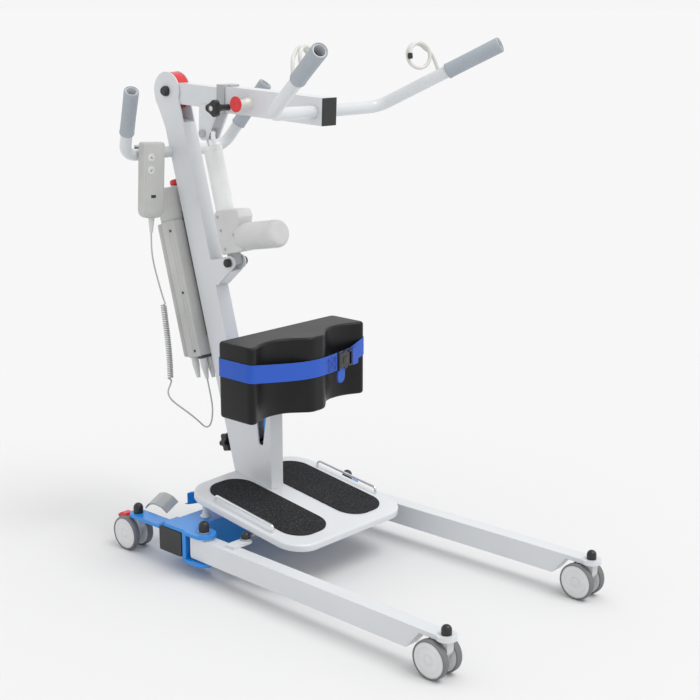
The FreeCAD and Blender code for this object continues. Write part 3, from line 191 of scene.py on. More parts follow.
finishes = {
    "whitePaint": paint("whitePaint", (0.66, 0.68, 0.705)),
    "bluePaint": paint("bluePaint", (0.014, 0.24, 0.70), 0.3),
    "grip": plastic("gripVinyl", (0.36, 0.40, 0.44), 0.55, 1200),
    "blackPlastic": plastic("blackPlastic", (0.010, 0.010, 0.011), 0.35, coat=0.1),
    "darkPlastic": plastic("darkPlastic", (0.055, 0.058, 0.062), 0.45),
    "greyPlastic": plastic("greyPlastic", (0.42, 0.43, 0.44), 0.45),
    "lightPlastic": plastic("lightPlastic", (0.60, 0.605, 0.60), 0.42),
    "tubePlastic": plastic("tubePlastic", (0.76, 0.77, 0.77), 0.3, coat=0.2),
    "packPlastic": plastic("packPlastic", (0.44, 0.45, 0.44), 0.48),
    "shellPlastic": plastic("shellPlastic", (0.50, 0.505, 0.49), 0.46),
    "redPlastic": plastic("redPlastic", (0.66, 0.016, 0.02), 0.3, coat=0.2),
    "tyreRubber": plastic("tyreRubber", (0.16, 0.165, 0.17), 0.6, 900),
    "discPlastic": plastic("discPlastic", (0.68, 0.69, 0.70), 0.4),
    "zinc": metal("zinc", (0.52, 0.53, 0.55), 0.32),
    "chrome": metal("chrome", (0.78, 0.79, 0.81), 0.16),
    "satinRod": paint("satinRod", (0.68, 0.67, 0.64), 0.25, 0),
    "foam": foamSkin("foamSkin", (0.006, 0.006, 0.007)),
    "grit": grit("gritMat", (0.014, 0.015, 0.016), (0.09, 0.09, 0.10)),
    "webbing": webbingCloth("webbing", (0.022, 0.095, 0.50)),
    "thread": plastic("threadBlue", (0.012, 0.03, 0.22), 0.7, 900),
    "cordJacket": plastic("cordJacket", (0.46, 0.465, 0.46), 0.45, 600),
    "led": plastic("ledWindow", (0.012, 0.014, 0.014), 0.2, coat=0.4),
}

nodeFinish = {
    "whitePaint": ["mast", "push_handle_bar", "boom_arm", "boom_sleeve", "patient_handlebar",
                   "leg_left", "leg_right"],
    "bluePaint": ["chassis_frame", "knee_pad_stem", "spreader_pedal"],
    "blackPlastic": ["frame_caps", "leg_caps_left", "leg_caps_right", "boom_end_plug", "knee_clamp_knob"],
    "greyPlastic": ["clevis_bolts", "pedal_pads", "boom_collar"],
    "lightPlastic": ["handset_strain_relief", "control_plugs", "cord_plug"] + [
        "castor_fork_%s_%s" % (end, side) for end in ("front", "rear") for side in sides],
    "redPlastic": ["boom_head_cover", "brake_pedal_rear_left", "brake_pedal_rear_right"],
    "zinc": ["pivot_bolts", "tie_rod_left", "tie_rod_right"],
    "chrome": ["actuator_rod", "guard_rails"],
    "grit": ["foot_mats"],
    "satinRod": ["sling_hooks", "sling_studs"],
}
for finish, names in nodeFinish.items():
    for name in names:
        nodes[name].data.materials.clear()
        nodes[name].data.materials.append(finishes[finish])
print("materials made:", len(finishes))


# ---- mesh helpers, all in millimetres until a piece is finished

def keepMesh(name, parts, body, materials, stands=(), smooth=40):
    whole = bmesh.new()
    for part, place, index in parts:
        for face in part.faces:
            face.material_index = index
        bmesh.ops.transform(part, matrix=place, verts=part.verts)
        spare = bpy.data.meshes.new("spare")
        part.to_mesh(spare)
        part.free()
        whole.from_mesh(spare)
        bpy.data.meshes.remove(spare)
    bmesh.ops.transform(whole, matrix=toMetres, verts=whole.verts)
    bmesh.ops.recalc_face_normals(whole, faces=whole.faces)
    mesh = bpy.data.meshes.new(name)
    whole.to_mesh(mesh)
    whole.free()
    mesh.shade_smooth()
    mesh.set_sharp_from_angle(angle=math.radians(smooth))
    piece = bpy.data.objects.new(name, mesh)
    bpy.context.collection.objects.link(piece)
    for material in materials:
        mesh.materials.append(finishes[material])
    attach(piece, body)
    if stands:
        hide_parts(*stands)
    return piece


def block(low, high, radius=0.0, segments=3):
    part = bmesh.new()
    low, high = Vector(low), Vector(high)
    bmesh.ops.create_cube(part, size=1)
    bmesh.ops.scale(part, vec=high - low, verts=part.verts)
    bmesh.ops.translate(part, vec=(low + high) / 2, verts=part.verts)
    if radius:
        bmesh.ops.bevel(part, geom=part.edges[:], offset=radius, segments=segments, profile=0.5,
                        affect="EDGES", material=-1)
    return part


def slab(outline, low, high, corners=0.0, rim=0.0, cornerSteps=6, rimSteps=3):
    # an outline in X and Y raised along Z, its upright corners rounded first and then both rims
    part = bmesh.new()
    base = part.faces.new([part.verts.new((x, y, low)) for x, y in outline])
    if not isinstance(corners, (list, tuple)):
        corners = [corners] * len(outline)
    raised = bmesh.ops.extrude_face_region(part, geom=[base])
    top = [item for item in raised["geom"] if isinstance(item, bmesh.types.BMVert)]
    bmesh.ops.translate(part, vec=(0, 0, high - low), verts=top)
    bmesh.ops.recalc_face_normals(part, faces=part.faces)
    count = len(outline)
    for index, radius in enumerate(corners):
        if radius <= 0:
            continue
        here = Vector(outline[index])
        before = (Vector(outline[index - 1]) - here).normalized()
        after = (Vector(outline[(index + 1) % count]) - here).normalized()
        reach = radius / math.tan(before.angle(after) / 2)
        upright = [edge for edge in part.edges if all((v.co.xy - here).length < 0.01 for v in edge.verts)]
        bmesh.ops.bevel(part, geom=upright, offset=reach, segments=cornerSteps, profile=0.5,
                        affect="EDGES", material=-1)
    if rim:
        rims = [edge for edge in part.edges
                if abs(edge.verts[0].co.z - edge.verts[1].co.z) < 0.001]
        bmesh.ops.bevel(part, geom=rims, offset=rim, segments=rimSteps, profile=0.5, affect="EDGES",
                        material=-1)
        # a narrow border round each flat end keeps its shading flat
        ends = [face for face in part.faces if abs(face.normal.z) > 0.9999 and len(face.verts) > 6]
        bmesh.ops.inset_region(part, faces=ends, thickness=0.3, use_even_offset=True)
    return part


def spun(profile, steps=48):
    # profile: distance from the Z axis and height, bottom to top
    part = bmesh.new()
    points = [part.verts.new((radius, 0, height)) for radius, height in profile]
    for start, end in zip(points, points[1:]):
        part.edges.new((start, end))
    bmesh.ops.spin(part, geom=part.verts[:] + part.edges[:], cent=(0, 0, 0), axis=(0, 0, 1),
                   angle=2 * math.pi, steps=steps, use_merge=True)
    bmesh.ops.remove_doubles(part, verts=part.verts, dist=0.001)
    return part


def aimed(place, direction):
    # stands a part drawn along Z at a place, pointing in a direction
    turn = Vector((0, 0, 1)).rotation_difference(Vector(direction))
    return Matrix.Translation(place) @ turn.to_matrix().to_4x4()


# ---- camera and studio

cameraSettings = {"place": (-2.12, -2.0045, 1.2375), "heading": -47.41, "drop": 14.06,
                  "lens": 70.73, "width": 36, "reach": 900}
cameraData = bpy.data.cameras.new("camera")
cameraData.lens = cameraSettings["lens"]
cameraData.sensor_width = cameraSettings["width"]
cameraData.clip_end = cameraSettings["reach"]
camera = bpy.data.objects.new("camera", cameraData)
camera.location = cameraSettings["place"]
camera.rotation_euler = (math.radians(90 - cameraSettings["drop"]), 0,
                         math.radians(cameraSettings["heading"]))
bpy.context.collection.objects.link(camera)
bpy.context.scene.camera = camera

studio = {"sky": 0.92, "sun": 1.25, "spread": 30, "from": (0.5, -1.35, 2.6),
          "floor": 400, "paper": 0.735}
floorShape = bmesh.new()
bmesh.ops.create_grid(floorShape, x_segments=1, y_segments=1, size=studio["floor"])
floorMesh = bpy.data.meshes.new("floor")
floorShape.to_mesh(floorMesh)
floorShape.free()
floor = bpy.data.objects.new("floor", floorMesh)
bpy.context.collection.objects.link(floor)
floorMaterial, _, _ = startMaterial("floorPaper", (studio["paper"],) * 3, 1.0, gloss=0.0)
floorMesh.materials.append(floorMaterial)

world = bpy.data.worlds.new("studio")
bpy.context.scene.world = world
world.use_nodes = True
world.node_tree.nodes["Background"].inputs["Color"].default_value = (1, 1, 1, 1)
world.node_tree.nodes["Background"].inputs["Strength"].default_value = studio["sky"]
bpy.context.scene.view_settings.view_transform = "Standard"

sunLight = bpy.data.lights.new("softSun", "SUN")
sunLight.energy = studio["sun"]
sunLight.angle = math.radians(studio["spread"])
sun = bpy.data.objects.new("softSun", sunLight)
sun.rotation_euler = (-Vector(studio["from"])).to_track_quat("-Z", "Y").to_euler()
bpy.context.collection.objects.link(sun)
print("camera and studio ready")


# ---- handset cord

# The route's points are listed in millimetres. The coil starts and ends with a share of its
# line left straight, and its first steps are eased out from a smaller radius.
cordSettings = {
    "diameter": 4.0, "coilDiameter": 15.2, "clearance": 0.1, "turns": 33, "stepsPerTurn": 12,
    "straightShare": 0.04, "endLift": 7, "easedSteps": 6, "firstReach": 0.55, "reachStep": 0.1,
    "lead": [(-104.7, 474.5, 726.2), (-105.6, 474, 708), (-107.4, 472, 682), (-104, 469, 648),
             (-96.5, 465, 612), (-92.5, 461, 588), (-90.4, 457.5, 565)],
    "coil": [(-90.4, 457.5, 565), (-88.5, 455, 527), (-87, 451, 490), (-86.5, 447, 450),
             (-87.5, 443, 412), (-90, 440, 371)],
    "tail": [(-90, 440, 371), (-93, 439.5, 362), (-103.5, 436, 350), (-103.5, 430, 337), (-92, 424, 322),
             (-74, 414, 305), (-56, 404, 287), (-42, 394, 270), (-33.5, 386, 257), (-25.5, 378, 258),
             (-22.5, 372, 276), (-22, 369, 302), (-24.5, 370, 330)],
}


def cordCurve(name, points):
    curve = bpy.data.curves.new(name, "CURVE")
    curve.dimensions = "3D"
    spline = curve.splines.new("NURBS")
    spline.points.add(len(points) - 1)
    for point, place in zip(spline.points, points):
        point.co = (*(Vector(place) * mm), 1)
    spline.order_u = 3
    spline.use_endpoint_u = True
    curve.resolution_u = 4
    return curve


def lineOf(points):
    # the smooth line that the route's control points give, as evenly read points in millimetres
    curve = cordCurve("route", points)
    holder = bpy.data.objects.new("route", curve)
    mesh = bpy.data.meshes.new_from_object(holder)
    line = [vertex.co / mm for vertex in mesh.vertices]
    bpy.data.objects.remove(holder)
    bpy.data.curves.remove(curve)
    bpy.data.meshes.remove(mesh)
    return line


def along(line, share):
    lengths = [0.0]
    for start, end in zip(line, line[1:]):
        lengths.append(lengths[-1] + (end - start).length)
    goal = share * lengths[-1]
    for index in range(1, len(line)):
        if lengths[index] >= goal:
            part = (goal - lengths[index - 1]) / (lengths[index] - lengths[index - 1])
            return line[index - 1].lerp(line[index], part), (line[index] - line[index - 1]).normalized()
    return line[-1], (line[-1] - line[-2]).normalized()


def helixPoints(settings):
    line = lineOf(settings["coil"])
    radius = (settings["coilDiameter"] - settings["diameter"]) / 2 - settings["clearance"]
    radius /= math.cos(math.pi / settings["stepsPerTurn"])
    count = settings["turns"] * settings["stepsPerTurn"]
    length = sum((end - start).length for start, end in zip(line, line[1:]))
    straight = settings["straightShare"]
    points = []
    for step in range(count + 1):
        fromEnd = min(step, count - step)
        easing = settings["endLift"] / length * max(0, 1 - fromEnd / settings["easedSteps"]) ** 2
        share = straight + (1 - 2 * straight) * step / count + (easing if step > count / 2 else -easing)
        centre, direction = along(line, share)
        across = direction.cross(Vector((0, 1, 0))).normalized()
        outward = direction.cross(across)
        angle = 2 * math.pi * step / settings["stepsPerTurn"]
        reach = radius * min(1, settings["firstReach"] + settings["reachStep"] * fromEnd)
        points.append(centre + (across * math.cos(angle) + outward * math.sin(angle)) * reach)
    return points


plugEnd = mastFrame @ Vector((-29, 21, 229))
reliefEnd = handsetFrame @ Vector((2, 0, -122))
cordPoints = ([reliefEnd] + cordSettings["lead"][1:-1] + helixPoints(cordSettings)
              + cordSettings["tail"][1:] + [plugEnd])
cordData = cordCurve("handsetCord", cordPoints)
cordData.bevel_depth = cordSettings["diameter"] / 2 * mm
cordData.bevel_resolution = 2
cordData.resolution_u = 2
cordData.materials.append(finishes["cordJacket"])
handsetCord = bpy.data.objects.new("handset_cord", cordData)
bpy.context.collection.objects.link(handsetCord)
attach(handsetCord, "frame")
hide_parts("cord_lead", "cord_coil", "cord_tail")
cordLine = lineOf(cordPoints)


# ---- castor wheels: a grey tyre round a pale disc, two to a castor

wheelSettings = {
    "radius": 40, "trail": 21.4, "steps": 56,
    "spots": {"front": (247, -529.2), "rear": (229.1, 404.1)},
    "tyre": [(35.9, 12.5), (37.4, 11.8), (38.6, 12.3), (39.8, 14.5), (40, 18), (40, 22), (39.8, 25.5),
             (38.8, 27.6), (37.5, 28.4), (36.5, 28.2), (35.9, 27.4), (35.9, 12.5)],
    "disc": [(0, 27.6), (5, 27.6), (8.4, 27.1), (9.2, 26.2), (11, 26.2), (12, 27.2), (17, 27.9),
             (25, 27.9), (26, 27.2), (27, 27.9), (32.5, 27.8), (34.6, 27.4), (36, 26.4), (36, 12.6),
             (0, 12.6)],
    "axle": [(0, -12), (4.9, -12), (4.9, 12), (0, 12)],
}
for end, (castorX, castorY) in wheelSettings["spots"].items():
    for side, sign in sides.items():
        centre = (sign * castorX, castorY + wheelSettings["trail"], wheelSettings["radius"])
        parts = []
        for facing in (-1, 1):
            hub = aimed(centre, (facing, 0, 0))
            parts += [(spun(wheelSettings["tyre"], wheelSettings["steps"]), hub, 0),
                      (spun(wheelSettings["disc"], wheelSettings["steps"]), hub, 1)]
        parts.append((spun(wheelSettings["axle"], 24), aimed(centre, (1, 0, 0)), 2))
        name = "%s_%s" % (end, side)
        keepMesh("castor_tyres_" + name, parts, "wheels_" + name, ["tyreRubber", "discPlastic", "zinc"],
                 ["castor_wheels_" + name], 30)
print("castors ready")


# ---- grips

gripSettings = {"bore": 13.6, "outer": 16.75, "lip": 16.95}


def gripShape(length):
    outer, lip, bore = gripSettings["outer"], gripSettings["lip"], gripSettings["bore"]
    profile = [(bore, 0.3), (lip - 1.2, 0), (lip - 0.3, 0.4), (lip, 1.6), (lip, 4), (outer - 0.3, 5),
               (outer - 0.5, length * 0.35), (outer - 0.2, length * 0.7), (outer, length - 7),
               (outer, length - 3.4), (outer - 0.6, length - 1.2), (outer - 1.6, length - 0.2),
               (bore, length), (bore, 0.3)]
    return spun(profile, 48)


handleElbow = Vector((163, 9.6, 1024))
gripInner = Vector((226.9, -129.9, 1101.2))
gripAim = (gripInner - handleElbow).normalized()
pushElbow = Vector((151, 504, 905))
pushTop = Vector((202.8, 403.8, 1058))
pushAim = (pushTop - pushElbow).normalized()
pushLength = 122
gripSets = {
    "patient_handle_grips": (gripInner, gripAim, 128, "boom_extension", "patient_grips"),
    "push_handle_grips": (pushTop - pushAim * pushLength, pushAim, pushLength, "frame", "push_grips"),
}
for name, (start, aim, length, body, node) in gripSets.items():
    parts = []
    for sign in sides.values():
        flip = Vector((sign, 1, 1))
        parts.append((gripShape(length), aimed(start * flip, aim * flip), 0))
    keepMesh(name, parts, body, ["grip"], [node], 35)


# ---- footplate: white tray with a soft rim, on posts

plateSettings = {"half": 183, "front": -91.7, "rear": 283.6, "depth": 16, "sheet": 3, "frontCorner": 60,
                 "rearCorner": 68, "rim": 5, "notch": 19.4, "notchFrom": 158.6, "post": (163, 243),
                 "postShape": [(0, 104), (13, 104), (13, 105.5), (8.5, 110), (7, 116), (7, 152), (0, 152)]}


def footplateTray(settings):
    half, front, rear = settings["half"], settings["front"], settings["rear"]
    notch, notchFrom = settings["notch"], settings["notchFrom"]
    outline = [(-half, front), (half, front), (half, rear), (notch, rear), (notch, notchFrom),
               (-notch, notchFrom), (-notch, rear), (-half, rear)]
    frontCorner, rearCorner = settings["frontCorner"], settings["rearCorner"]
    corners = [frontCorner, frontCorner, rearCorner, 0, 0, 0, 0, rearCorner]
    tray = slab(outline, -settings["depth"], 0, corners, cornerSteps=14)
    for face in [face for face in tray.faces if face.normal.z < -0.9]:
        tray.faces.remove(face)
    topRim = [edge for edge in tray.edges if all(abs(v.co.z) < 0.01 for v in edge.verts) and
              min(abs(v.co.x) for v in edge.verts) > notch + 0.5]
    bmesh.ops.bevel(tray, geom=topRim, offset=settings["rim"], segments=4, profile=0.5, affect="EDGES",
                    material=-1)
    bmesh.ops.recalc_face_normals(tray, faces=tray.faces)
    bmesh.ops.solidify(tray, geom=tray.faces[:], thickness=settings["sheet"])
    return tray


parts = [(footplateTray(plateSettings), plateFrame, 0)]
postX, postY = plateSettings["post"]
for sign in sides.values():
    parts.append((spun(plateSettings["postShape"], 32), Matrix.Translation((sign * postX, postY, 0)), 0))
keepMesh("footplate_tray", parts, "frame", ["whitePaint"], ["footplate"], 35)
print("footplate ready")


# ---- knee pad: moulded foam with two shin cradles

padSettings = {"half": 182, "rear": 169, "front": 57, "cradle": 83, "ridge": 38, "bottom": 360, "height": 171,
               "rim": 6.5, "corners": [12, 13, 88, 60, 28]}


def kneePadOutline(settings):
    half, rear, front = settings["half"], settings["rear"], settings["front"]
    cradle, ridge = settings["cradle"], settings["ridge"]
    right = [(half, rear), (half, front), (128, cradle), (72, cradle), (20, ridge)]
    return right + [(-x, y) for x, y in reversed(right)]


corners = padSettings["corners"]
pad = slab(kneePadOutline(padSettings), padSettings["bottom"], padSettings["bottom"] + padSettings["height"],
           corners + corners[::-1], padSettings["rim"], 8, 5)
kneePad = keepMesh("knee_cushion", [(pad, Matrix(), 0)], "knee_support", ["foam"],
                   ["knee_pad"], 50)


# ---- knee strap and buckle

strapSettings = {"width": 40, "thickness": 1.8, "gap": 0.7, "corner": 14.6, "hornY": 77.3,
                 "low": {"side": 455, "horn": 453, "buckle": 440.5, "middle": 440, "far": 446}}


def ribbon(path, width, thickness):
    # a closed band: one section pushed from place to place along the path, UV in millimetres
    def sectionAt(index):
        here = Vector(path[index % len(path)])
        before, after = Vector(path[index - 1]), Vector(path[(index + 1) % len(path)])
        direction = Vector((after.x - before.x, after.y - before.y, 0)).normalized()
        outward = Vector((direction.y, -direction.x, 0))
        turn = Matrix((outward, direction, (0, 0, 1))).transposed().to_4x4()
        return Matrix.Translation(here) @ turn

    band = bmesh.new()
    layer = band.loops.layers.uv.new("UVMap")
    half = thickness / 2
    frameNow = sectionAt(0)
    ring = [band.verts.new(frameNow @ Vector(spot))
            for spot in ((half, 0, 0), (half, 0, width), (-half, 0, width), (-half, 0, 0))]
    edges = [band.edges.new((ring[index - 1], ring[index])) for index in range(4)]
    station = {vertex: (0.0, vertex.co.z - path[0][2]) for vertex in ring}
    travelled = 0.0
    for index in range(1, len(path) + 1):
        frameNext = sectionAt(index)
        pushed = bmesh.ops.extrude_edge_only(band, edges=edges)["geom"]
        fresh = [item for item in pushed if isinstance(item, bmesh.types.BMVert)]
        edges = [item for item in pushed if isinstance(item, bmesh.types.BMEdge)
                 and all(vertex in fresh for vertex in item.verts)]
        bmesh.ops.transform(band, matrix=frameNext @ frameNow.inverted(), verts=fresh)
        travelled += (frameNext.translation - frameNow.translation).length
        for vertex in fresh:
            station[vertex] = (travelled, vertex.co.z - frameNext.translation.z)
        frameNow = frameNext
    for face in band.faces:
        for loop in face.loops:
            loop[layer].uv = station[loop.vert]
    bmesh.ops.remove_doubles(band, verts=band.verts, dist=0.01)
    return band


def strapPath(settings, padding):
    # round the pad: tight round the horns, straight to the middle ridge, sagging towards the front
    away = settings["gap"] + settings["thickness"] / 2
    half, rear = padding["half"] + away, padding["rear"] + away
    ridge = padding["ridge"] - away
    radius, hornY = settings["corner"], settings["hornY"]
    middleY = (hornY + rear - radius) / 2
    slope = math.atan2(hornY - radius - ridge, half - radius - 20)
    drop = settings["low"]
    path = [(x, rear, drop["side"]) for x in (-120, -60, 0, 60, 120)]

    def bendTo(cx, cy, size, start, end, low, high, steps=6):
        for step in range(steps + 1):
            share = step / steps
            angle = math.radians(start + (end - start) * share)
            path.append((cx + size * math.cos(angle), cy + size * math.sin(angle),
                         low + (high - low) * share))

    lean = math.degrees(slope)
    bendTo(half - radius, rear - radius, radius, 90, 0, drop["side"], drop["side"])
    path.append((half, middleY, drop["side"]))
    bendTo(half - radius, hornY, radius, 0, -90 + lean, drop["side"], drop["horn"])
    for x, low in ((150, 448), (122, drop["buckle"]), (66, drop["buckle"]), (44, drop["middle"])):
        path.append((x, ridge + (x - 20) * math.tan(slope), low))
    bendTo(0, ridge + 118, 118, -90 + 8, -90 - 8, drop["middle"], drop["middle"], 5)
    for x, low in ((-44, 441), (-75, 443), (-105, drop["far"]), (-135, 449), (-160, 452)):
        path.append((x, ridge + (-x - 20) * math.tan(slope), low))
    bendTo(-half + radius, hornY, radius, -90 - lean, -180, drop["horn"], drop["side"])
    path.append((-half, middleY, drop["side"]))
    bendTo(-half + radius, rear - radius, radius, 180, 90, drop["side"], drop["side"])
    return path


band = ribbon(strapPath(strapSettings, padSettings)[::-1], strapSettings["width"],
              strapSettings["thickness"])
buckleFrame = Matrix.Translation((94, 47.6, 460.5)) @ Matrix.Rotation(math.radians(9.9), 4, "Z")
# turns an outline drawn in X and Z, to be raised along Y
standing = Matrix(((1, 0, 0, 0), (0, 0, 1, 0), (0, 1, 0, 0), (0, 0, 0, 1)))
fold = slab([(-32, -52), (-2, -52), (2, -14), (-26, -14)], -1.6, 2.6, [14, 14, 0, 0], 0.9, 8, 2)
flap = slab([(29, -20), (52, -20), (52, 20), (29, 20)], -4.2, -2.4, [0, 3, 3, 0], 0.6, 4, 2)
pieces = [(band, Matrix(), 0), (fold, buckleFrame @ standing, 0), (flap, buckleFrame @ standing, 0)]

# the sewn box on the strap: four lines of thread and a cross
sewing = {"from": -68, "to": -40.3, "half": 15, "line": 0.7, "near": -2.4, "far": -1.7,
          "crossX": -54, "crossHalf": 20, "crossLine": 0.4, "crossTilt": 47}
start, end, half, line = sewing["from"], sewing["to"], sewing["half"], sewing["line"]
for lowX, highX, lowZ, highZ in ((start, start + line, -half, half), (end - line, end, -half, half),
                                 (start, end, -half, -half + line), (start, end, half - line, half)):
    thread = block((lowX, sewing["near"], lowZ), (highX, sewing["far"], highZ))
    pieces.append((thread, buckleFrame, 1))
for tilt in (sewing["crossTilt"], -sewing["crossTilt"]):
    cross = block((-sewing["crossLine"], sewing["near"], -sewing["crossHalf"]),
                  (sewing["crossLine"], sewing["far"], sewing["crossHalf"]))
    place = Matrix.Translation((sewing["crossX"], 0, 0)) @ Matrix.Rotation(math.radians(tilt), 4, "Y")
    pieces.append((cross, buckleFrame @ place, 1))
keepMesh("leg_strap", pieces, "knee_support", ["webbing", "thread"], ["knee_strap"], 60)

buckleSettings = {
    "half": 5.2, "rim": 1.4, "radius": 1.5,
    "catch": [(-27, -17), (-8, -17), (-4, -21), (4, -21), (8, -15), (14, -15), (14, 15), (8, 15), (4, 21),
              (-4, 21), (-8, 17), (-27, 17)],
    "corners": [3, 3, 2, 2, 3, 2, 2, 3, 2, 2, 3, 3],
    "bars": [((-28, -4.5, -21.5), (-20, 4.5, 21.5)), ((12, -4.6, -19), (28, 4.6, -14)),
             ((12, -4.6, 14), (28, 4.6, 19)), ((23, -4.6, -19), (28, 4.6, 19)),
             ((16, -3, -15), (18.5, 3, 15)), ((-14, -6.1, -8), (6, -4, 8))],
}
catch = slab(buckleSettings["catch"], -buckleSettings["half"], buckleSettings["half"],
             buckleSettings["corners"], buckleSettings["rim"], 4, 3)
parts = [(catch, buckleFrame @ standing, 0)]
for low, high in buckleSettings["bars"]:
    parts.append((block(low, high, buckleSettings["radius"]), buckleFrame, 0))
keepMesh("side_release_buckle", parts, "knee_support", ["blackPlastic"], ["strap_buckle"])
print("knee support ready")


# ---- control box, battery pack and emergency stop, in the mast's frame

screwHead = [(0, 0.5), (2.0, 0.5), (2.2, 1.3), (3.2, 1.3), (3.2, -1), (0, -1)]
unitSettings = {
    "half": 45, "near": 12, "far": 58, "bottom": 285, "split": 612, "top": 690, "seam": 0.8,
    "grooves": [(31, 1.4, 0.5), (20, 1, 0.4)],  # place, width and rounding on the left face
    "screws": [(300, 26), (440, 26), (588, 26), (668, 47)],
    "stop": (8, 34),
    "stopRing": [(15.9, -1), (18.8, -1), (18.6, 1.8), (17.4, 2.6), (15.9, 2.2), (15.9, -1)],
    "stopShape": [(0, -6), (6, -6), (6, 4.6), (13, 4.6), (14.6, 5.6), (15, 8), (14.8, 13.5), (13, 16.8),
                  (9, 18.2), (0, 18.5)],
}
half, near, far = unitSettings["half"], unitSettings["near"], unitSettings["far"]
bottom, split, top = unitSettings["bottom"], unitSettings["split"], unitSettings["top"]
parts = [
    (block((-half, near, bottom), (half, far, split), 5), mastFrame, 0),
    (block((-half, near, split + unitSettings["seam"]), (half, far, top), 6), mastFrame, 0),
    (block((-half + 1.5, near + 2, split - 6), (half - 1.5, far - 2, split + 8), 1), mastFrame, 2),
    (block((-12, 0.1, bottom + 45), (12, near + 2, split + 18), 1), mastFrame, 1),  # rail on the mast
]
for depth, width, radius in unitSettings["grooves"]:
    bead = block((-half - 0.8, depth, bottom + 7), (-half + 1, depth + width, split - 6), radius)
    parts.append((bead, mastFrame, 0))
parts.append((block((-38, 13, bottom - 6), (2, 29, bottom + 2), 2), mastFrame, 1))  # socket for the plugs
for height, depth in unitSettings["screws"]:
    parts.append((spun(screwHead, 20), mastFrame @ aimed((-half, depth, height), (-1, 0, 0)), 1))
stopPlace = mastFrame @ Matrix.Translation((*unitSettings["stop"], top))
parts.append((spun(unitSettings["stopRing"], 40), stopPlace, 2))
keepMesh("control_unit", parts, "frame", ["shellPlastic", "darkPlastic", "greyPlastic"],
         ["control_box"])

batterySettings = {"half": 42, "near": 58.1, "far": 76, "bottom": 288, "top": 610, "ribs": 6,
                   "ribHalf": 24, "ribFrom": 330, "ribPitch": 7, "ribHeight": 3}
half, near, far = batterySettings["half"], batterySettings["near"], batterySettings["far"]
top = batterySettings["top"]
parts = [(block((-half, near, batterySettings["bottom"]), (half, far, top), 5), mastFrame, 0),
         (block((-30, 60, top - 4), (30, far - 2, top + 6), 3), mastFrame, 0)]
for row in range(batterySettings["ribs"]):
    low = batterySettings["ribFrom"] + row * batterySettings["ribPitch"]
    rib = block((-batterySettings["ribHalf"], far - 1, low),
                (batterySettings["ribHalf"], far + 0.8, low + batterySettings["ribHeight"]), 0.8)
    parts.append((rib, mastFrame, 0))
keepMesh("battery_case", parts, "frame", ["packPlastic"], ["battery_pack"])
keepMesh("stop_button", [(spun(unitSettings["stopShape"], 48), stopPlace, 0)], "emergency_stop",
         ["redPlastic"], ["emergency_stop"])


# ---- handset

handsetSettings = {
    "half": 31, "tall": 87, "deep": 12, "panelHalf": 26.5, "panelLow": -79, "panelHigh": 81,
    "hookHalf": 13, "hookFar": 49, "hookLow": 40, "hookTop": 77,
    "buttonX": -11, "buttons": {"up": (52, 1), "down": (23, -1)},  # height, and which way the arrow points
    "ring": [(6.1, 0), (9.4, 0), (9.4, 1.1), (8.6, 1.6), (6.1, 1.6), (6.1, 0)],
    "cap": [(0, -2), (5.8, -2), (5.8, 12.6), (5.2, 13.2), (0, 13.4)],
}
half, tall, deep = handsetSettings["half"], handsetSettings["tall"], handsetSettings["deep"]
shell = slab([(-half, -tall), (half, -tall), (half, tall), (-half, tall)], -deep, deep, [20, 20, 7, 7],
             4.5, 8, 4)
half, low, high = handsetSettings["panelHalf"], handsetSettings["panelLow"], handsetSettings["panelHigh"]
panel = slab([(-half, low), (half, low), (half, high), (-half, high)], -deep - 0.7, -deep + 1,
             [16, 16, 5, 5], 0.5, 6, 2)
half, far = handsetSettings["hookHalf"], handsetSettings["hookFar"]
low, top = handsetSettings["hookLow"], handsetSettings["hookTop"]
parts = [(shell, handsetFrame @ standing, 0), (panel, handsetFrame @ standing, 0),
         (block((-10, -13.1, -40), (4, -11.8, -33), 0.5), handsetFrame, 1),  # the lamp's window
         (block((-half, deep, low), (half, deep + 3, top), 1.2), handsetFrame, 0),
         (block((-half, deep, top - 4.5), (half, far, top), 1.8), handsetFrame, 0),
         (block((-half, far - 3, low + 2), (half, far, top - 1), 1.4), handsetFrame, 0)]
buttonX = handsetSettings["buttonX"]
for height, _ in handsetSettings["buttons"].values():
    place = handsetFrame @ aimed((buttonX, -deep, height), (0, -1, 0))
    parts.append((spun(handsetSettings["ring"], 36), place, 2))
keepMesh("hand_control", parts, "frame", ["shellPlastic", "led", "discPlastic"],
         ["handset_case"])
for name, (height, point) in handsetSettings["buttons"].items():
    button = handsetFrame @ aimed((buttonX, 0, height), (0, -1, 0))
    parts = [(spun(handsetSettings["cap"], 32), button, 0)]
    for tilt in (-1, 1):  # the two strokes of the arrow
        stroke = block((-0.7, -0.4, -2.4), (0.7, 0.4, 2.4), 0.2, 1)
        turn = Matrix.Rotation(math.radians(-42 * tilt * point), 4, "Y")
        place = handsetFrame @ Matrix.Translation((buttonX + tilt * 1.4, -13.4, height)) @ turn
        parts.append((stroke, place, 1))
    keepMesh("button_" + name, parts, "handset_" + name, ["discPlastic", "led"],
             ["handset_%s_button" % name])
print("controls ready")


# ---- actuator

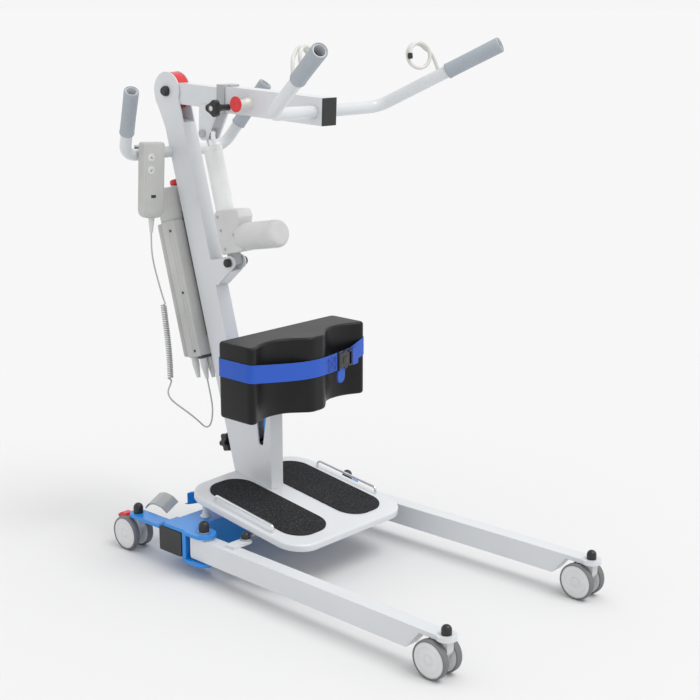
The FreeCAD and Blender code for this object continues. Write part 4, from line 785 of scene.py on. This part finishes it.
# turns an outline drawn in Y and Z, to be raised along X
upright = Matrix(((0, 0, 1, 0), (1, 0, 0, 0), (0, 1, 0, 0), (0, 0, 0, 1)))
actuatorSettings = {
    "half": 22, "motorLean": 5.5, "motorStart": (0, -46, 52),
    "housing": [(-53.5, 18), (18, 21), (18.5, 116), (6, 124), (-62, 114), (-66, 96), (-54, 74)],
    "housingCorners": [10, 4, 5, 12, 6, 6, 6],
    "eye": [(-9, -8), (9, -8), (10, 24), (-10, 24)],
    "screws": [(2, 32), (-36, 60), (4, 76), (6, 108)],
    "screwHead": [(0, 0.3), (1.8, 0.3), (2, 1), (3.6, 1), (3.6, -1), (0, -1)],
    "motor": [(0, 0), (31.5, 0), (31.5, 104), (31.1, 104.6), (31.1, 105.4), (31.4, 106), (30.9, 111),
              (29.4, 115.5), (26.8, 119), (23, 121), (18, 121.9), (0, 122)],
    "sleeve": [(0, 61), (21.5, 61), (21.5, 256), (20.8, 257), (20.8, 258), (22, 258.6), (22.1, 267),
               (21, 269), (10.2, 269), (10.2, 240), (0, 240)],
}
half, motorLean = actuatorSettings["half"], math.radians(actuatorSettings["motorLean"])
housing = slab(actuatorSettings["housing"], -half, half, actuatorSettings["housingCorners"], 3.5)
eye = slab(actuatorSettings["eye"], -13, 13, [6, 6, 0, 0], 1)
parts = [(housing, actuatorFrame @ upright, 0), (eye, actuatorFrame @ upright, 1)]
for spot in actuatorSettings["screws"]:
    place = actuatorFrame @ aimed((-half, *spot), (-1, 0, 0))
    parts.append((spun(actuatorSettings["screwHead"], 20), place, 1))
keepMesh("gear_housing", parts, "actuator", ["lightPlastic", "greyPlastic"],
         ["actuator_housing"])
motorAim = Vector((0, -math.cos(motorLean), -math.sin(motorLean)))
motorPlace = actuatorFrame @ aimed(actuatorSettings["motorStart"], motorAim)
keepMesh("motor_can", [(spun(actuatorSettings["motor"], 56), motorPlace, 0)], "actuator", ["lightPlastic"],
         ["actuator_motor"])
keepMesh("actuator_sleeve", [(spun(actuatorSettings["sleeve"], 48), actuatorFrame, 0)], "actuator",
         ["tubePlastic"], ["actuator_tube"])
print("actuator ready")


# ---- star knob and stud discs

starSettings = {"place": (0, 293, 1018), "reach": 20.6, "waist": 13.5, "lobeHalf": 15,
                "back": 58, "thick": 14}
starPlace = aimed(starSettings["place"], (-1, 0, 0))
starBack, starFront = starSettings["back"], starSettings["back"] + starSettings["thick"]
stem = spun([(0, 15.6), (4, 15.6), (4, 20.5), (7, 20.5), (7, 34), (7.6, 42), (11, 57), (11, starFront),
             (10, starFront + 0.8), (0, starFront + 0.8)], 40)
insert = spun([(0, starFront - 1), (5.6, starFront - 1), (5.6, starFront + 1.2), (5, starFront + 1.7),
               (0, starFront + 1.8)], 32)
starOutline = []
for lobe in range(3):
    for offset, reach in ((-starSettings["lobeHalf"], starSettings["reach"]),
                          (starSettings["lobeHalf"], starSettings["reach"]), (60, starSettings["waist"])):
        angle = math.radians(90 + 120 * lobe + offset)
        starOutline.append((reach * math.cos(angle), reach * math.sin(angle)))
star = slab(starOutline, starBack, starFront, [4.6, 4.6, 12] * 3, 1.8, 6, 3)
keepMesh("star_knob", [(stem, starPlace, 0), (insert, starPlace, 1), (star, starPlace, 0)], "boom_knob",
         ["blackPlastic", "lightPlastic"], ["boom_star_knob"])

discSettings = {"place": (0, 227.8, 1029.3),
                "shape": [(0, 56.5), (16.5, 56.5), (17.5, 57.3), (17.5, 59.4), (16.6, 60.4), (4, 60.4),
                          (3, 59.8), (0, 59.8)]}
discs = [(spun(discSettings["shape"], 48), aimed(discSettings["place"], (sign, 0, 0)), 0)
         for sign in sides.values()]
keepMesh("red_stud_discs", discs, "boom_extension", ["redPlastic"], ["sling_stud_discs"])

# the last two places along each pigtail hook's rod
hookEnd, hookBefore = Vector((143.9, -95.8, 1132.5)), Vector((146.6, -92.7, 1146.0))
tipShape = [(0, -8), (4.6, -8), (5.4, -7.4), (5.5, 1.6), (4.8, 3), (3, 3.6), (0, 3.8)]
tips = []
for sign in sides.values():
    flip = Vector((sign, 1, 1))
    tips.append((spun(tipShape, 32), aimed(hookEnd * flip, (hookEnd - hookBefore) * flip), 0))
keepMesh("hook_tips", tips, "boom_extension", ["blackPlastic"])
print("knob, studs and hook tips ready")


print("pieces ready")
